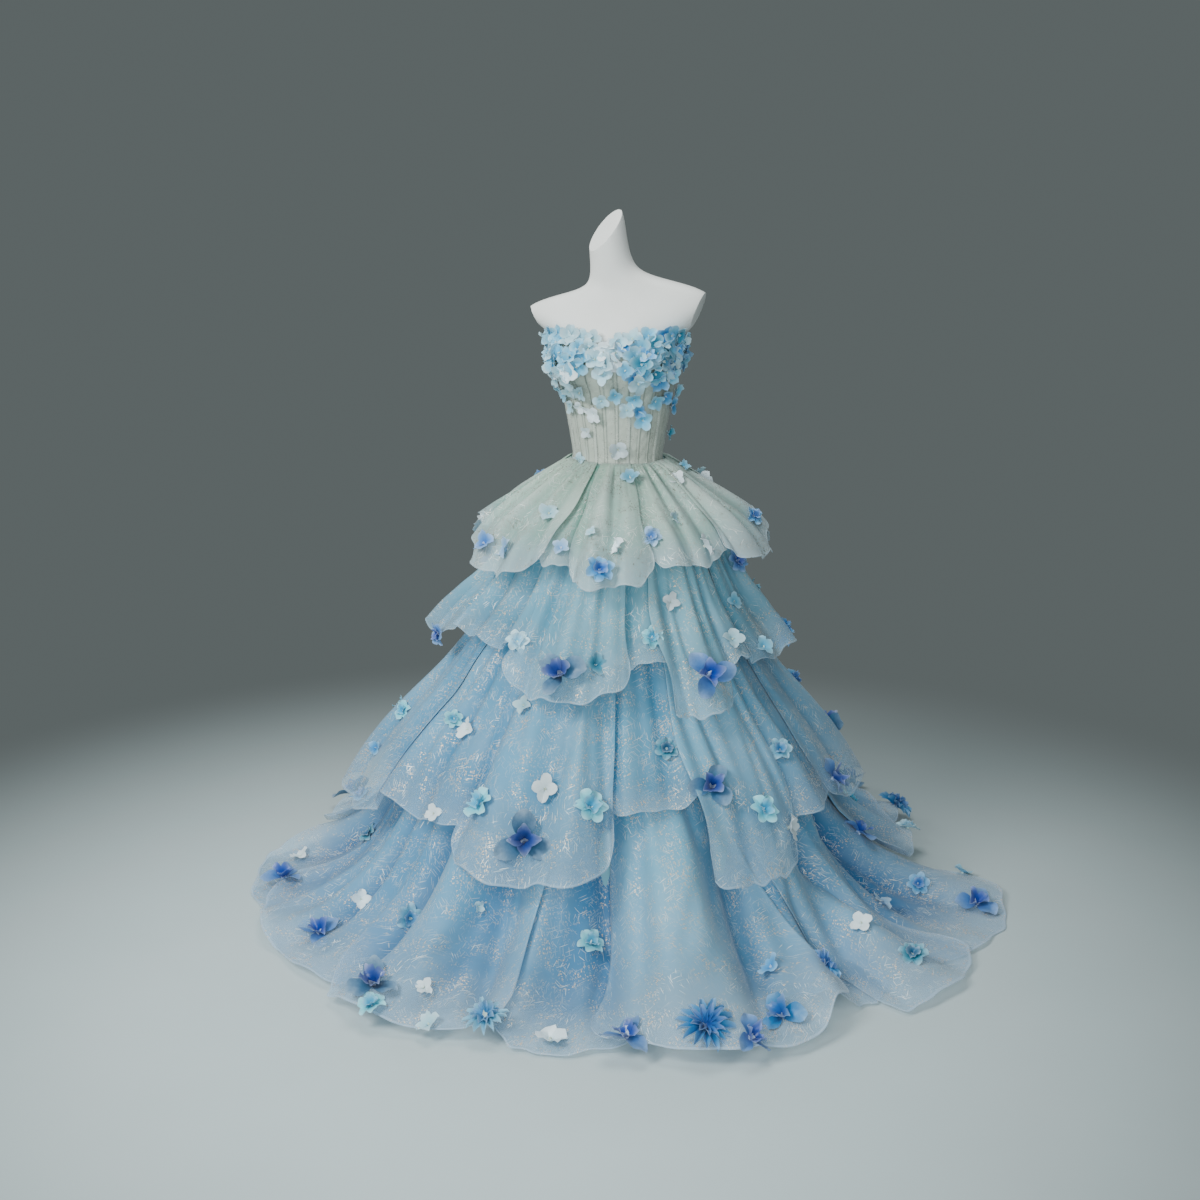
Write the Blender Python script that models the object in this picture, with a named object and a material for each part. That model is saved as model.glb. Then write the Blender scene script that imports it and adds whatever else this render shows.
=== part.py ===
"""Strapless tiered ball gown standing on a limbless dress form.

Metres, +Z up. The origin is the centre of the stand plate's underside, on the floor.
The gown faces -Y and its left side (the wearer's left) is +X. Angles go round from the
front, 0 degrees at -Y, and grow towards +X.

The skirt is four rows of overlapping rounded petals sewn to an A-line underskirt. Each row
hangs from its own profile, a curve from the seam to the hem, and all rows share one set of
angles at which folds crest and dip, so that overlapping petals nest in each other.
"""

import bmesh
import bpy
import numpy as np
from mathutils import Vector

# Driving sizes
CLOTH = 0.0016          # wall of the doubled organza petals
BODICE_CLOTH = 0.0018   # wall of the boned bodice
SEAM = 0.0003           # gap at a sewn seam
CUP_PADDING = 0.0035    # the cups stand out this much more
EASE = 0.0055           # space between the form and the inside of the bodice
FOLD_COLUMNS = 44       # crests and dips round the skirt, in turn
LAYER = 0.0124          # space between one petal layer and the next, at the hem
LAYER_TOP = 0.0027      # the same at the seam
WAIST_Z = 1.058
POLE_RADIUS = 0.0125
PLATE_RADIUS = 0.19
PLATE_HEIGHT = 0.012

# Section of the dress form: height, half width, half depth, sideways and forward shift
FORM_SECTIONS = (
    ("z", "half_width", "half_depth", "shift_x", "shift_y"),
    (0.880, 0.118, 0.092, 0.000, 0.004),
    (0.892, 0.142, 0.112, 0.000, 0.004),
    (0.925, 0.152, 0.119, 0.000, 0.004),
    (0.970, 0.142, 0.112, 0.000, 0.003),
    (1.015, 0.116, 0.092, 0.000, 0.000),
    (1.060, 0.100, 0.078, 0.000, -0.002),
    (1.100, 0.104, 0.080, 0.000, -0.002),
    (1.160, 0.114, 0.088, 0.000, -0.002),
    (1.220, 0.124, 0.100, 0.000, -0.006),
    (1.270, 0.133, 0.116, 0.000, -0.012),
    (1.305, 0.138, 0.116, 0.000, -0.010),
    (1.340, 0.151, 0.104, 0.000, -0.003),
    (1.375, 0.190, 0.088, 0.000, 0.004),
    (1.402, 0.222, 0.071, 0.000, 0.008),
    (1.425, 0.214, 0.058, 0.000, 0.010),
    (1.443, 0.166, 0.052, -0.002, 0.011),
    (1.456, 0.112, 0.049, -0.006, 0.011),
    (1.468, 0.074, 0.047, -0.010, 0.010),
    (1.484, 0.053, 0.045, -0.014, 0.008),
    (1.515, 0.045, 0.043, -0.019, 0.004),
    (1.560, 0.042, 0.042, -0.024, 0.000),
    (1.640, 0.039, 0.040, -0.030, -0.006),
)
FORM_SIDES = 36
SHOULDER_TILT = 0.085   # rise of the shoulder line per metre towards +X
SIDE_TUCK = 0.08        # how much narrower the skirt hangs on its +X side
TUCK_BAND = (0.02, 0.20, 0.70, 0.86)    # heights where the tuck starts, is full, fades and ends
NECK_CUT_POINT = (-0.030, -0.008, 1.578)
NECK_CUT_NORMAL = (-0.62, -0.50, 0.60)
ARM_CUT_POINT = (0.181, 0.0, 1.372)
ARM_CUT_NORMAL = (0.905, -0.10, -0.41)

# Profiles of the cloth, from the seam to the hem: height, radius at the side and at the front
UNDERSKIRT_PROFILE = (
    ("z", "side", "front"),
    (1.055, 0.1085, 0.0895),
    (1.020, 0.132, 0.116),
    (0.955, 0.180, 0.172),
    (0.700, 0.297, 0.300),
    (0.445, 0.420, 0.428),
    (0.240, 0.502, 0.514),
    (0.012, 0.588, 0.602),
)
PEPLUM_PROFILE = (
    ("z", "side", "front"),
    (1.0552, 0.1112, 0.0922),
    (1.030, 0.142, 0.127),
    (0.990, 0.192, 0.180),
    (0.950, 0.240, 0.234),
    (0.910, 0.282, 0.280),
    (0.870, 0.311, 0.312),
    (0.830, 0.328, 0.331),
    (0.780, 0.339, 0.343),
)
MIDDLE_PROFILE = (
    ("z", "side", "front"),
    (0.954, 0.1828, 0.1748),
    (0.920, 0.204, 0.199),
    (0.870, 0.236, 0.234),
    (0.810, 0.271, 0.273),
    (0.750, 0.310, 0.314),
    (0.690, 0.360, 0.366),
    (0.630, 0.404, 0.411),
    (0.570, 0.434, 0.441),
    (0.500, 0.456, 0.463),
)
LOWER_PROFILE = (
    ("z", "side", "front"),
    (0.699, 0.2998, 0.3028),
    (0.660, 0.322, 0.326),
    (0.600, 0.362, 0.370),
    (0.520, 0.420, 0.431),
    (0.440, 0.484, 0.496),
    (0.370, 0.536, 0.550),
    (0.300, 0.578, 0.592),
    (0.240, 0.606, 0.620),
    (0.160, 0.634, 0.648),
)
FLOOR_PROFILE = (
    ("z", "side", "front"),
    (0.444, 0.4236, 0.4316),
    (0.380, 0.456, 0.468),
    (0.310, 0.493, 0.507),
    (0.240, 0.530, 0.547),
    (0.175, 0.567, 0.586),
    (0.115, 0.612, 0.632),
    (0.068, 0.664, 0.685),
    (0.034, 0.728, 0.750),
    (0.014, 0.806, 0.828),
    (0.005, 0.890, 0.914),
    (0.002, 0.990, 1.012),
    (0.001, 1.050, 1.070),
)

# Petals of each row: middle and half of its spread in degrees, height of the lowest point of
# its hem (on the floor row, how far it reaches), how far the hem rises to its corners, which
# layer it lies in, and how far its hem is lifted off the skirt
PEPLUM_PETALS = (
    ("name", "middle", "half", "hem", "rise", "layer", "lift"),
    ("front", 6, 17, 0.822, 0.055, 2, 0.006),
    ("right", 41, 24, 0.852, 0.060, 1, 0.008),
    ("side_right", 77, 22, 0.836, 0.070, 2, 0.026),
    ("rear_right", 117, 25, 0.830, 0.060, 1, 0.010),
    ("back_right", 158, 26, 0.822, 0.055, 2, 0.010),
    ("back_left", 202, 26, 0.830, 0.055, 1, 0.010),
    ("rear_left", 241, 23, 0.826, 0.060, 2, 0.012),
    ("side_left", 277, 22, 0.890, 0.040, 0, 0.018),
    ("left", 317, 27, 0.822, 0.075, 2, 0.010),
    ("left_inner", 346, 13, 0.858, 0.050, 0, 0.004),
)
MIDDLE_PETALS = (
    ("name", "middle", "half", "hem", "rise", "layer", "lift"),
    ("front_left", 354, 20, 0.580, 0.080, 2, 0.010),
    ("front", 19, 12, 0.655, 0.045, 0, 0.000),
    ("right", 38, 13, 0.545, 0.060, 2, 0.014),
    ("side_right", 57, 15, 0.632, 0.050, 0, 0.008),
    ("far_right", 82, 20, 0.600, 0.060, 1, 0.016),
    ("rear_right", 117, 26, 0.585, 0.060, 0, 0.008),
    ("back", 160, 28, 0.570, 0.065, 2, 0.010),
    ("rear_left", 209, 30, 0.585, 0.060, 1, 0.008),
    ("side_left", 263, 34, 0.598, 0.075, 2, 0.014),
    ("left", 316, 27, 0.664, 0.055, 1, 0.010),
)
LOWER_PETALS = (
    ("name", "middle", "half", "hem", "rise", "layer", "lift"),
    ("front_left", 351, 20, 0.226, 0.110, 2, 0.016),
    ("front", 19, 16, 0.372, 0.050, 0, 0.000),
    ("right", 44, 14, 0.205, 0.110, 2, 0.012),
    ("side_right", 67, 17, 0.292, 0.085, 0, 0.010),
    ("far_right", 95, 20, 0.235, 0.080, 1, 0.010),
    ("rear_right", 131, 26, 0.215, 0.080, 0, 0.006),
    ("back", 176, 29, 0.200, 0.080, 2, 0.008),
    ("rear_left", 225, 29, 0.215, 0.080, 1, 0.006),
    ("side_left", 277, 33, 0.205, 0.110, 2, 0.014),
    ("left", 319, 25, 0.300, 0.080, 1, 0.008),
)
FLOOR_PETALS = (
    ("name", "middle", "half", "hem", "rise", "layer", "lift"),
    ("front", 3, 13, 0.925, 0.100, 0, 0.000),
    ("front_right", 27, 18, 0.985, 0.150, 2, 0.055),
    ("right_inner", 48, 9, 0.900, 0.060, 0, 0.000),
    ("right", 60, 12, 0.990, 0.110, 1, 0.012),
    ("side_right", 81, 15, 0.985, 0.120, 0, 0.000),
    ("far_right", 107, 17, 0.780, 0.090, 2, 0.014),
    ("rear_right", 138, 20, 0.860, 0.110, 0, 0.006),
    ("back_right", 172, 20, 1.010, 0.110, 2, 0.035),
    ("back_left", 206, 20, 1.005, 0.110, 0, 0.008),
    ("rear_left", 243, 26, 0.860, 0.110, 2, 0.020),
    ("side_left", 284, 18, 0.930, 0.120, 0, 0.000),
    ("left", 307, 20, 0.920, 0.110, 1, 0.010),
    ("front_left", 337, 18, 0.950, 0.110, 2, 0.040),
)

# Rows: name, profile, petals, fold depth at the hem, which columns crest, rows of faces
ROWS = (
    ("row", "profile", "petals", "fold", "crest", "faces"),
    ("peplum", PEPLUM_PROFILE, PEPLUM_PETALS, 0.021, 0, 4),
    ("middle", MIDDLE_PROFILE, MIDDLE_PETALS, 0.027, 1, 4),
    ("lower", LOWER_PROFILE, LOWER_PETALS, 0.030, 0, 5),
    ("floor", FLOOR_PROFILE, FLOOR_PETALS, 0.046, 1, 6),
)

# Bodice panels: from and to angle in degrees
BODICE_PANELS = (
    ("name", "start", "end"),
    ("front_centre", -20, 20),
    ("front_right", 20, 60),
    ("side_right", 60, 100),
    ("back_right", 100, 170),
    ("back_placket", 170, 190),
    ("back_left", 190, 260),
    ("side_left", 260, 300),
    ("front_left", 300, 340),
)
BODICE_STEP = 10        # degrees between the columns of a panel, as on the form
BODICE_ROWS = 6
CASING_ANGLES = (-60, -20, 20, 60)
CASING_WIDTH = 0.008
CASING_THICKNESS = 0.0014
GARLAND_REACH = 90      # the flower border runs this far to each side of the front
GARLAND_CLEAR = 0.0040   # it stands this far off the panels, which are flat between their rows
GARLAND_THICKNESS = 0.013

MATERIALS = {
    "form_skin": ((0.86, 0.85, 0.83), 0.55, 0.0),
    "stand_metal": ((0.72, 0.72, 0.72), 0.35, 1.0),
    "bodice_tulle": ((0.74, 0.77, 0.72), 0.6, 0.0),
    "boning_casing": ((0.66, 0.70, 0.66), 0.6, 0.0),
    "underskirt_satin": ((0.34, 0.58, 0.63), 0.5, 0.0),
    "peplum_organza": ((0.68, 0.78, 0.75), 0.6, 0.0),
    "middle_organza": ((0.52, 0.69, 0.77), 0.6, 0.0),
    "lower_organza": ((0.48, 0.65, 0.78), 0.6, 0.0),
    "floor_organza": ((0.50, 0.65, 0.80), 0.6, 0.0),
    "flower_silk": ((0.30, 0.55, 0.86), 0.6, 0.0),
}


def clear_scene():
    for old in list(bpy.data.objects):
        bpy.data.objects.remove(old, do_unlink=True)


def material(name):
    found = bpy.data.materials.get(name)
    if found:
        return found
    colour, roughness, metallic = MATERIALS[name]
    made = bpy.data.materials.new(name)
    made.use_nodes = True
    shader = made.node_tree.nodes["Principled BSDF"]
    shader.inputs["Base Color"].default_value = (*colour, 1.0)
    shader.inputs["Roughness"].default_value = roughness
    shader.inputs["Metallic"].default_value = metallic
    return made


def rows_of(table):
    """The rows of a table as dictionaries keyed by its column names."""
    names = table[0]
    return [dict(zip(names, row)) for row in table[1:]]


def columns_of(table):
    """The number columns of a table as arrays keyed by their names."""
    return {name: np.array([row[i] for row in table[1:]]) for i, name in enumerate(table[0])}


def add_object(name, points, faces, material_name, smooth=True):
    mesh = bpy.data.meshes.new(name)
    mesh.from_pydata([tuple(p) for p in points], [], faces)
    mesh.materials.append(material(material_name))
    made = bpy.data.objects.new(name, mesh)
    bpy.context.scene.collection.objects.link(made)
    if smooth:
        mesh.shade_smooth()
    return made


def add_wall(sheet, thickness, offset=0.0):
    """Thicken an open sheet into a closed wall."""
    wall = sheet.modifiers.new("wall", "SOLIDIFY")
    wall.thickness = thickness
    wall.offset = offset
    wall.use_even_offset = True
    return wall


def grid_faces(rows, columns):
    """Faces of a grid of points stored row by row, facing outwards on a sheet that hangs."""
    faces = []
    for i in range(rows - 1):
        for j in range(columns - 1):
            a = i * columns + j
            faces.append((a, a + columns, a + columns + 1, a + 1))
    return faces


def add_shell(name, outer, inner, rows, columns, material_name):
    """A closed wall between an outer and an inner grid of points, stored row by row."""
    count = rows * columns
    faces = grid_faces(rows, columns)
    faces += [tuple(count + k for k in reversed(face)) for face in faces]
    rim = [*range(columns), *range(2 * columns - 1, count, columns)]
    rim += [*range(count - 2, count - columns - 1, -1), *range(count - 2 * columns, 0, -columns)]
    for a, b in zip(rim, rim[1:] + rim[:1]):
        faces.append((a, b, count + b, count + a))
    return add_object(name, [*outer, *inner], faces, material_name)


def smooth_curve(x, knots, values):
    """Monotone cubic through the knots, so that a profile bends without overshooting."""
    step = np.diff(knots)
    slope = np.diff(values) / step
    tangent = np.concatenate(([slope[0]], (slope[1:] + slope[:-1]) / 2, [slope[-1]]))
    for k, s in enumerate(slope):
        if s == 0.0:
            tangent[k] = 0.0
            tangent[k + 1] = 0.0
            continue
        steep = np.hypot(tangent[k] / s, tangent[k + 1] / s)
        if steep > 3.0:
            tangent[k] *= 3.0 / steep
            tangent[k + 1] *= 3.0 / steep
    k = np.clip(np.searchsorted(knots, x) - 1, 0, len(step) - 1)
    h = step[k]
    u = (x - knots[k]) / h
    return ((2 * u**3 - 3 * u**2 + 1) * values[k] + (u**3 - 2 * u**2 + u) * h * tangent[k]
            + (3 * u**2 - 2 * u**3) * values[k + 1] + (u**3 - u**2) * h * tangent[k + 1])


class Profile:
    """A curve from seam to hem, read by the length of cloth below the seam."""

    def __init__(self, table):
        columns = columns_of(table)
        self.z = columns["z"]
        self.side = columns["side"]
        self.front = columns["front"]
        run = np.hypot(np.diff(self.z), np.diff(self.side))
        self.knots = np.concatenate(([0.0], np.cumsum(run)))
        self.length = self.knots[-1]

    def at(self, s):
        z = smooth_curve(s, self.knots, self.z)
        side = smooth_curve(s, self.knots, self.side)
        front = smooth_curve(s, self.knots, self.front)
        return z, side, front

    def length_to_height(self, height):
        return float(np.interp(-height, -self.z, self.knots))

    def length_to_reach(self, reach):
        return float(np.interp(reach, self.front, self.knots))

    def point(self, s, angle, out=0.0):
        """The point s below the seam, moved out along the profile's normal."""
        step = 0.002
        lower = min(s + step, self.length)
        upper = max(lower - 2 * step, 0.0)
        z, side, front = self.at(s)
        z1, side1, _ = self.at(upper)
        z2, side2, _ = self.at(lower)
        tilt = np.hypot(side2 - side1, z2 - z1)
        radial = (z1 - z2) / tilt * out
        rise = (side2 - side1) / tilt * out
        a = np.radians(angle)
        x = (side + radial) * np.sin(a)
        if x > 0.0:
            x *= 1.0 - SIDE_TUCK * np.interp(z + rise, TUCK_BAND, (0.0, 1.0, 1.0, 0.0))
        return Vector((x, -(front + radial) * np.cos(a), z + rise))


def fold_angles():
    """Angles of the crests and dips, unevenly spaced round the skirt."""
    k = np.arange(FOLD_COLUMNS)
    return 360.0 / FOLD_COLUMNS * k + 1.1 * np.sin(2.1 * k) + 0.8 * np.sin(5.3 * k + 1.0)


ANGLES = fold_angles()


def fold_depths(crest):
    """How far each column stands out, 0 in a dip and up to 1 on a crest."""
    k = np.arange(FOLD_COLUMNS)
    depth = 0.72 + 0.28 * np.sin(1.7 * k + 2.0 * crest)
    return np.where(k % 2 == crest, depth, 0.06)


def nested_point(profile, depths, amount, s, angle, out):
    """A point on the chord between the two columns that the angle lies between."""
    turn = angle % 360.0
    wrapped = np.concatenate((ANGLES, [ANGLES[0] + 360.0]))
    if turn < wrapped[0]:
        turn += 360.0
    k = min(int(np.searchsorted(wrapped, turn, side="right")) - 1, FOLD_COLUMNS - 1)
    share = (turn - wrapped[k]) / (wrapped[k + 1] - wrapped[k])
    first = profile.point(s, wrapped[k], out + amount * depths[k])
    second = profile.point(s, wrapped[k + 1], out + amount * depths[(k + 1) % FOLD_COLUMNS])
    return first.lerp(second, share)


def petal_angles(middle, half):
    """The petal's two side edges and every column between them."""
    low = middle - half
    high = middle + half
    inner = [a + turn for turn in (-360.0, 0.0, 360.0) for a in ANGLES if low + 1.2 < a + turn < high - 1.2]
    return [low, *sorted(inner), high]


def fold_growth(row, share):
    """Folds start flat at the seam and deepen downwards, and lie down again on the floor."""
    if row == "floor":
        return share**1.1 * (1.0 - 0.86 * max(0.0, (share - 0.52) / 0.48) ** 1.3)
    return share**1.2


def swell(row, share):
    """Where a petal stands off the skirt: at its hem or, on the floor row, half way down."""
    if row == "floor":
        return np.sin(np.pi * share**1.4)
    return share**2.2


def hem_length(row, profile, hem):
    """Length of cloth down to the lowest point of a hem."""
    if row == "floor":
        return profile.length_to_reach(hem)
    return profile.length_to_height(hem)


def build_petal(row, petal, profile, longest, depths, fold, face_rows):
    tip = hem_length(row, profile, petal["hem"])
    angles = petal_angles(petal["middle"], petal["half"])
    points = []
    for i in range(face_rows + 1):
        share = i / face_rows
        for angle in angles:
            across = abs(angle - petal["middle"]) / petal["half"]
            drop = 1.0 - (1.0 - min(across, 1.0) ** 2.6) ** (1 / 2.6)
            s = share * longest - (longest - tip + petal["rise"] * drop) * share**2.5
            out = LAYER_TOP + (LAYER - LAYER_TOP) * share
            out = petal["layer"] * out + petal["lift"] * swell(row, share) * (1.0 - across**2) ** 2
            amount = fold * fold_growth(row, s / longest)
            points.append(nested_point(profile, depths, amount, s, angle, out))
    sheet = add_object(f"{row}_petal_{petal['name']}", points,
                       grid_faces(face_rows + 1, len(angles)), f"{row}_organza")
    add_wall(sheet, CLOTH)


def build_skirt_rows():
    for spec in rows_of(ROWS):
        profile = Profile(spec["profile"])
        depths = fold_depths(spec["crest"])
        petals = rows_of(spec["petals"])
        longest = max(hem_length(spec["row"], profile, petal["hem"]) for petal in petals)
        for petal in petals:
            build_petal(spec["row"], petal, profile, longest, depths, spec["fold"], spec["faces"])


def build_underskirt():
    profile = Profile(UNDERSKIRT_PROFILE)
    lengths = [profile.length_to_height(z) for z in profile.z]
    points = []
    for s in lengths:
        for angle in ANGLES:
            points.append(profile.point(s, angle))
    faces = []
    for i in range(len(lengths) - 1):
        for j in range(FOLD_COLUMNS):
            a = i * FOLD_COLUMNS + j
            b = i * FOLD_COLUMNS + (j + 1) % FOLD_COLUMNS
            faces.append((a, a + FOLD_COLUMNS, b + FOLD_COLUMNS, b))
    sheet = add_object("underskirt", points, faces, "underskirt_satin")
    add_wall(sheet, CLOTH)


FORM = columns_of(FORM_SECTIONS)


def form_section(z):
    """Half width, half depth and the two shifts of the form at a height."""
    return [float(smooth_curve(z, FORM["z"], FORM[name]))
            for name in ("half_width", "half_depth", "shift_x", "shift_y")]


def form_point(z, angle, out=0.0):
    """A point of the form's skin, or a distance outside it."""
    half_width, half_depth, shift_x, shift_y = form_section(z)
    a = np.radians(angle)
    bust = 0.020 * np.exp(-((z - 1.285) / 0.048) ** 2)
    two_cups = np.exp(-((abs((angle + 180.0) % 360.0 - 180.0) - 36.0) / 22.0) ** 2)
    grow = bust * two_cups + out
    x = (half_width + grow) * np.sin(a) + shift_x
    y = -(half_depth + grow) * np.cos(a) + shift_y
    lean = np.clip((z - 1.33) / 0.09, 0.0, 1.0) * np.clip((1.60 - z) / 0.10, 0.0, 1.0)
    return Vector((x, y, z + SHOULDER_TILT * lean * x))


def cut_flat(form, point, normal):
    """Cut the form off at a plane and close the flat face that is left."""
    mesh = bmesh.new()
    mesh.from_mesh(form.data)
    whole = mesh.verts[:] + mesh.edges[:] + mesh.faces[:]
    cut = bmesh.ops.bisect_plane(mesh, geom=whole, dist=1e-5, plane_co=Vector(point),
                                 plane_no=Vector(normal).normalized(), clear_outer=True)
    rim = [e for e in cut["geom_cut"] if isinstance(e, bmesh.types.BMEdge)]
    bmesh.ops.contextual_create(mesh, geom=rim)
    mesh.to_mesh(form.data)
    mesh.free()


def build_form():
    angles = [360.0 * k / FORM_SIDES for k in range(FORM_SIDES)]
    points = [form_point(z, a) for z in FORM["z"] for a in angles]
    rings = len(FORM["z"])
    faces = []
    for i in range(rings - 1):
        for j in range(FORM_SIDES):
            a = i * FORM_SIDES + j
            b = i * FORM_SIDES + (j + 1) % FORM_SIDES
            faces.append((a, b, b + FORM_SIDES, a + FORM_SIDES))
    faces.append(tuple(reversed(range(FORM_SIDES))))
    faces.append(tuple((rings - 1) * FORM_SIDES + k for k in range(FORM_SIDES)))
    form = add_object("form_torso", points, faces, "form_skin")
    px, py, pz = ARM_CUT_POINT
    nx, ny, nz = ARM_CUT_NORMAL
    cut_flat(form, NECK_CUT_POINT, NECK_CUT_NORMAL)
    for side in (1.0, -1.0):
        level = pz + SHOULDER_TILT * side * px
        cut_flat(form, (side * px, py, level), (side * nx, ny, nz + side * SHOULDER_TILT))
    form.data.set_sharp_from_angle(angle=np.radians(40.0))


def add_turned(name, outline, sides, material_name):
    """A solid turned about the Z axis from (radius, height) corners, bottom to top."""
    points = [(r * np.cos(t), r * np.sin(t), z) for r, z in outline
              for t in np.linspace(0.0, 2 * np.pi, sides, endpoint=False)]
    faces = []
    for i in range(len(outline) - 1):
        for j in range(sides):
            a = i * sides + j
            b = i * sides + (j + 1) % sides
            faces.append((a, b, b + sides, a + sides))
    faces.append(tuple(reversed(range(sides))))
    faces.append(tuple((len(outline) - 1) * sides + k for k in range(sides)))
    made = add_object(name, points, faces, material_name)
    made.data.set_sharp_from_angle(angle=np.radians(35.0))
    return made


def build_stand():
    collar = PLATE_HEIGHT + 0.030
    plate = [(PLATE_RADIUS - 0.002, 0.0), (PLATE_RADIUS, 0.002), (PLATE_RADIUS, PLATE_HEIGHT - 0.003),
             (PLATE_RADIUS - 0.004, PLATE_HEIGHT), (POLE_RADIUS + 0.014, PLATE_HEIGHT + 0.004),
             (POLE_RADIUS + 0.010, collar), (POLE_RADIUS + 0.007, collar + 0.003)]
    add_turned("stand_base", plate, 32, "stand_metal")
    low = collar + 0.003 + SEAM
    high = FORM["z"][0] - SEAM
    add_turned("stand_pole", [(POLE_RADIUS, low), (POLE_RADIUS, high)], 16, "stand_metal")


def neckline(angle):
    """Height of the bodice's sweetheart top edge."""
    turn = abs((angle + 180.0) % 360.0 - 180.0)
    knots = np.array([0.0, 14.0, 36.0, 62.0, 95.0, 140.0, 180.0])
    heights = np.array([1.322, 1.330, 1.345, 1.335, 1.312, 1.292, 1.285])
    return float(smooth_curve(turn, knots, heights))


def bodice_ring_point(angle, down, out):
    top = neckline(angle)
    z = top + (WAIST_Z + CLOTH - top) * down
    cup = CUP_PADDING * np.exp(-((z - 1.275) / 0.055) ** 2)
    return form_point(z, angle, EASE + BODICE_CLOTH / 2 + cup + out)


def bodice_point(angle, down, out):
    """A point of the bodice, down from 0 at its top edge to 1 at the waist seam."""
    row = down * BODICE_ROWS
    above = np.clip(np.floor(row + 1e-6), 0, BODICE_ROWS - 1)
    first = bodice_ring_point(angle, above / BODICE_ROWS, out)
    second = bodice_ring_point(angle, (above + 1) / BODICE_ROWS, out)
    return first.lerp(second, row - above)


def degrees_of(length, radius):
    return float(np.degrees(length / radius))


def build_bodice():
    trim = degrees_of(SEAM / 2, 0.11)
    for panel in rows_of(BODICE_PANELS):
        inner_edges = range(panel["start"] + BODICE_STEP, panel["end"], BODICE_STEP)
        angles = [panel["start"] + trim, *inner_edges, panel["end"] - trim]
        places = [(a, i / BODICE_ROWS) for i in range(BODICE_ROWS + 1) for a in angles]
        outer = [bodice_point(a, down, BODICE_CLOTH / 2) for a, down in places]
        inner = [bodice_point(a, down, -BODICE_CLOTH / 2) for a, down in places]
        add_shell("bodice_" + panel["name"], outer, inner, BODICE_ROWS + 1, len(angles),
                  "bodice_tulle")


def lay_on_bodice(name, places, rows, columns, clear, thickness, material_name):
    """A wall made from points of the bodice, moved out to lie clear of its panels."""
    low = BODICE_CLOTH / 2 + clear
    inner = [bodice_point(angle, down, low) for angle, down, _ in places]
    outer = [bodice_point(angle, down, low + thickness + bump) for angle, down, bump in places]
    add_shell(name, outer, inner, rows, columns, material_name)


def build_casings():
    """Boning casings that lie over the seams, below the flower border."""
    half = degrees_of(CASING_WIDTH / 2, 0.115)
    first = BODICE_ROWS // 2
    levels = [i / BODICE_ROWS for i in range(first, BODICE_ROWS + 1)]
    for number, angle in enumerate(CASING_ANGLES, start=1):
        places = [(angle + side * half, down, 0.0) for down in levels for side in (-1.0, 0.0, 1.0)]
        lay_on_bodice(f"boning_casing_{number}", places, len(levels), 3, 2 * SEAM, CASING_THICKNESS,
                      "boning_casing")


def build_garland():
    """The plain outer shape of the silk flowers sewn along the top of the bust."""
    columns = range(-GARLAND_REACH, GARLAND_REACH + 1, BODICE_STEP)
    levels = (-0.045, 0.0, 1 / BODICE_ROWS, 2 / BODICE_ROWS, 0.42)
    places = []
    for i, down in enumerate(levels):
        for k, angle in enumerate(columns):
            bump = 0.006 * abs(np.sin(2.4 * k + 1.9 * i)) if 0 < i < 4 else 0.0
            places.append((angle, down, bump))
    lay_on_bodice("bust_flower_border", places, len(levels), len(columns), GARLAND_CLEAR, GARLAND_THICKNESS,
                  "flower_silk")


def main():
    clear_scene()
    build_form()
    build_stand()
    build_bodice()
    build_casings()
    build_garland()
    build_underskirt()
    build_skirt_rows()


main()
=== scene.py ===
"""Looks of a strapless tiered ball gown on a white dress form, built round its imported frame.

The gown faces -Y and its left side is +X. Angles go round from the front towards +X. Each
petal of the skirt is a thin sheet on the solid of its own name, with its folds, creases and
rolled hem; the flowers are modelled once for each kind and sewn on one by one.
"""

import math
from collections import namedtuple

import bmesh
import bpy
import numpy as np
from mathutils import Matrix, Vector
from mathutils.bvhtree import BVHTree


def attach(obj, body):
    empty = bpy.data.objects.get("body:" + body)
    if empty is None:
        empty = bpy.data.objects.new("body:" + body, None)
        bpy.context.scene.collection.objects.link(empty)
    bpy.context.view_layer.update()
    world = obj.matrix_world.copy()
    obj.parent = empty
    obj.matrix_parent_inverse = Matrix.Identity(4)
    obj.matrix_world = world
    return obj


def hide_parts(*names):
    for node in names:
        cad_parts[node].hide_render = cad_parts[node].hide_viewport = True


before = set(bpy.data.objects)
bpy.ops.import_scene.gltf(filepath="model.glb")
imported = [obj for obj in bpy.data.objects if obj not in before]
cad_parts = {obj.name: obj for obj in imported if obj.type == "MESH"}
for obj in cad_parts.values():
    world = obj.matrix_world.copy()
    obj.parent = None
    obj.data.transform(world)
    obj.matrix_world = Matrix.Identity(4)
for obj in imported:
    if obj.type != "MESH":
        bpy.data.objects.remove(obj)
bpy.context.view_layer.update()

RANDOM = np.random.default_rng(7)
Fabric = namedtuple("Fabric", "material wall slot held rests_on")

# ---------------------------------------------------------------- the studio
BACKDROP = (0.112, 0.132, 0.132)
FLOOR_Z = -0.0005
LIGHT_TARGET = (0.0, 0.0, 0.75)
LIGHTS = (
    ("name", "place", "size", "power", "colour"),
    ("key_softbox", (-2.0, -2.9, 3.3), 1.5, 156.0, (0.95, 1.0, 0.98)),
    ("front_fill", (0.8, -3.8, 1.8), 2.4, 82.0, (0.88, 0.97, 1.0)),
    ("top_softbox", (-0.3, 0.4, 3.8), 1.8, 52.0, (0.93, 1.0, 1.0)),
    ("left_rim", (-3.0, 1.8, 2.2), 1.4, 24.0, (0.93, 0.98, 1.0)),
)
CAMERA_AZIMUTH = 10.0
CAMERA_DISTANCE = 4.0
CAMERA_HEIGHT = 1.8
CAMERA_PITCH = 15.3
CAMERA_SHIFT = -0.015
VIEW_ANGLE = 38.6
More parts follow.
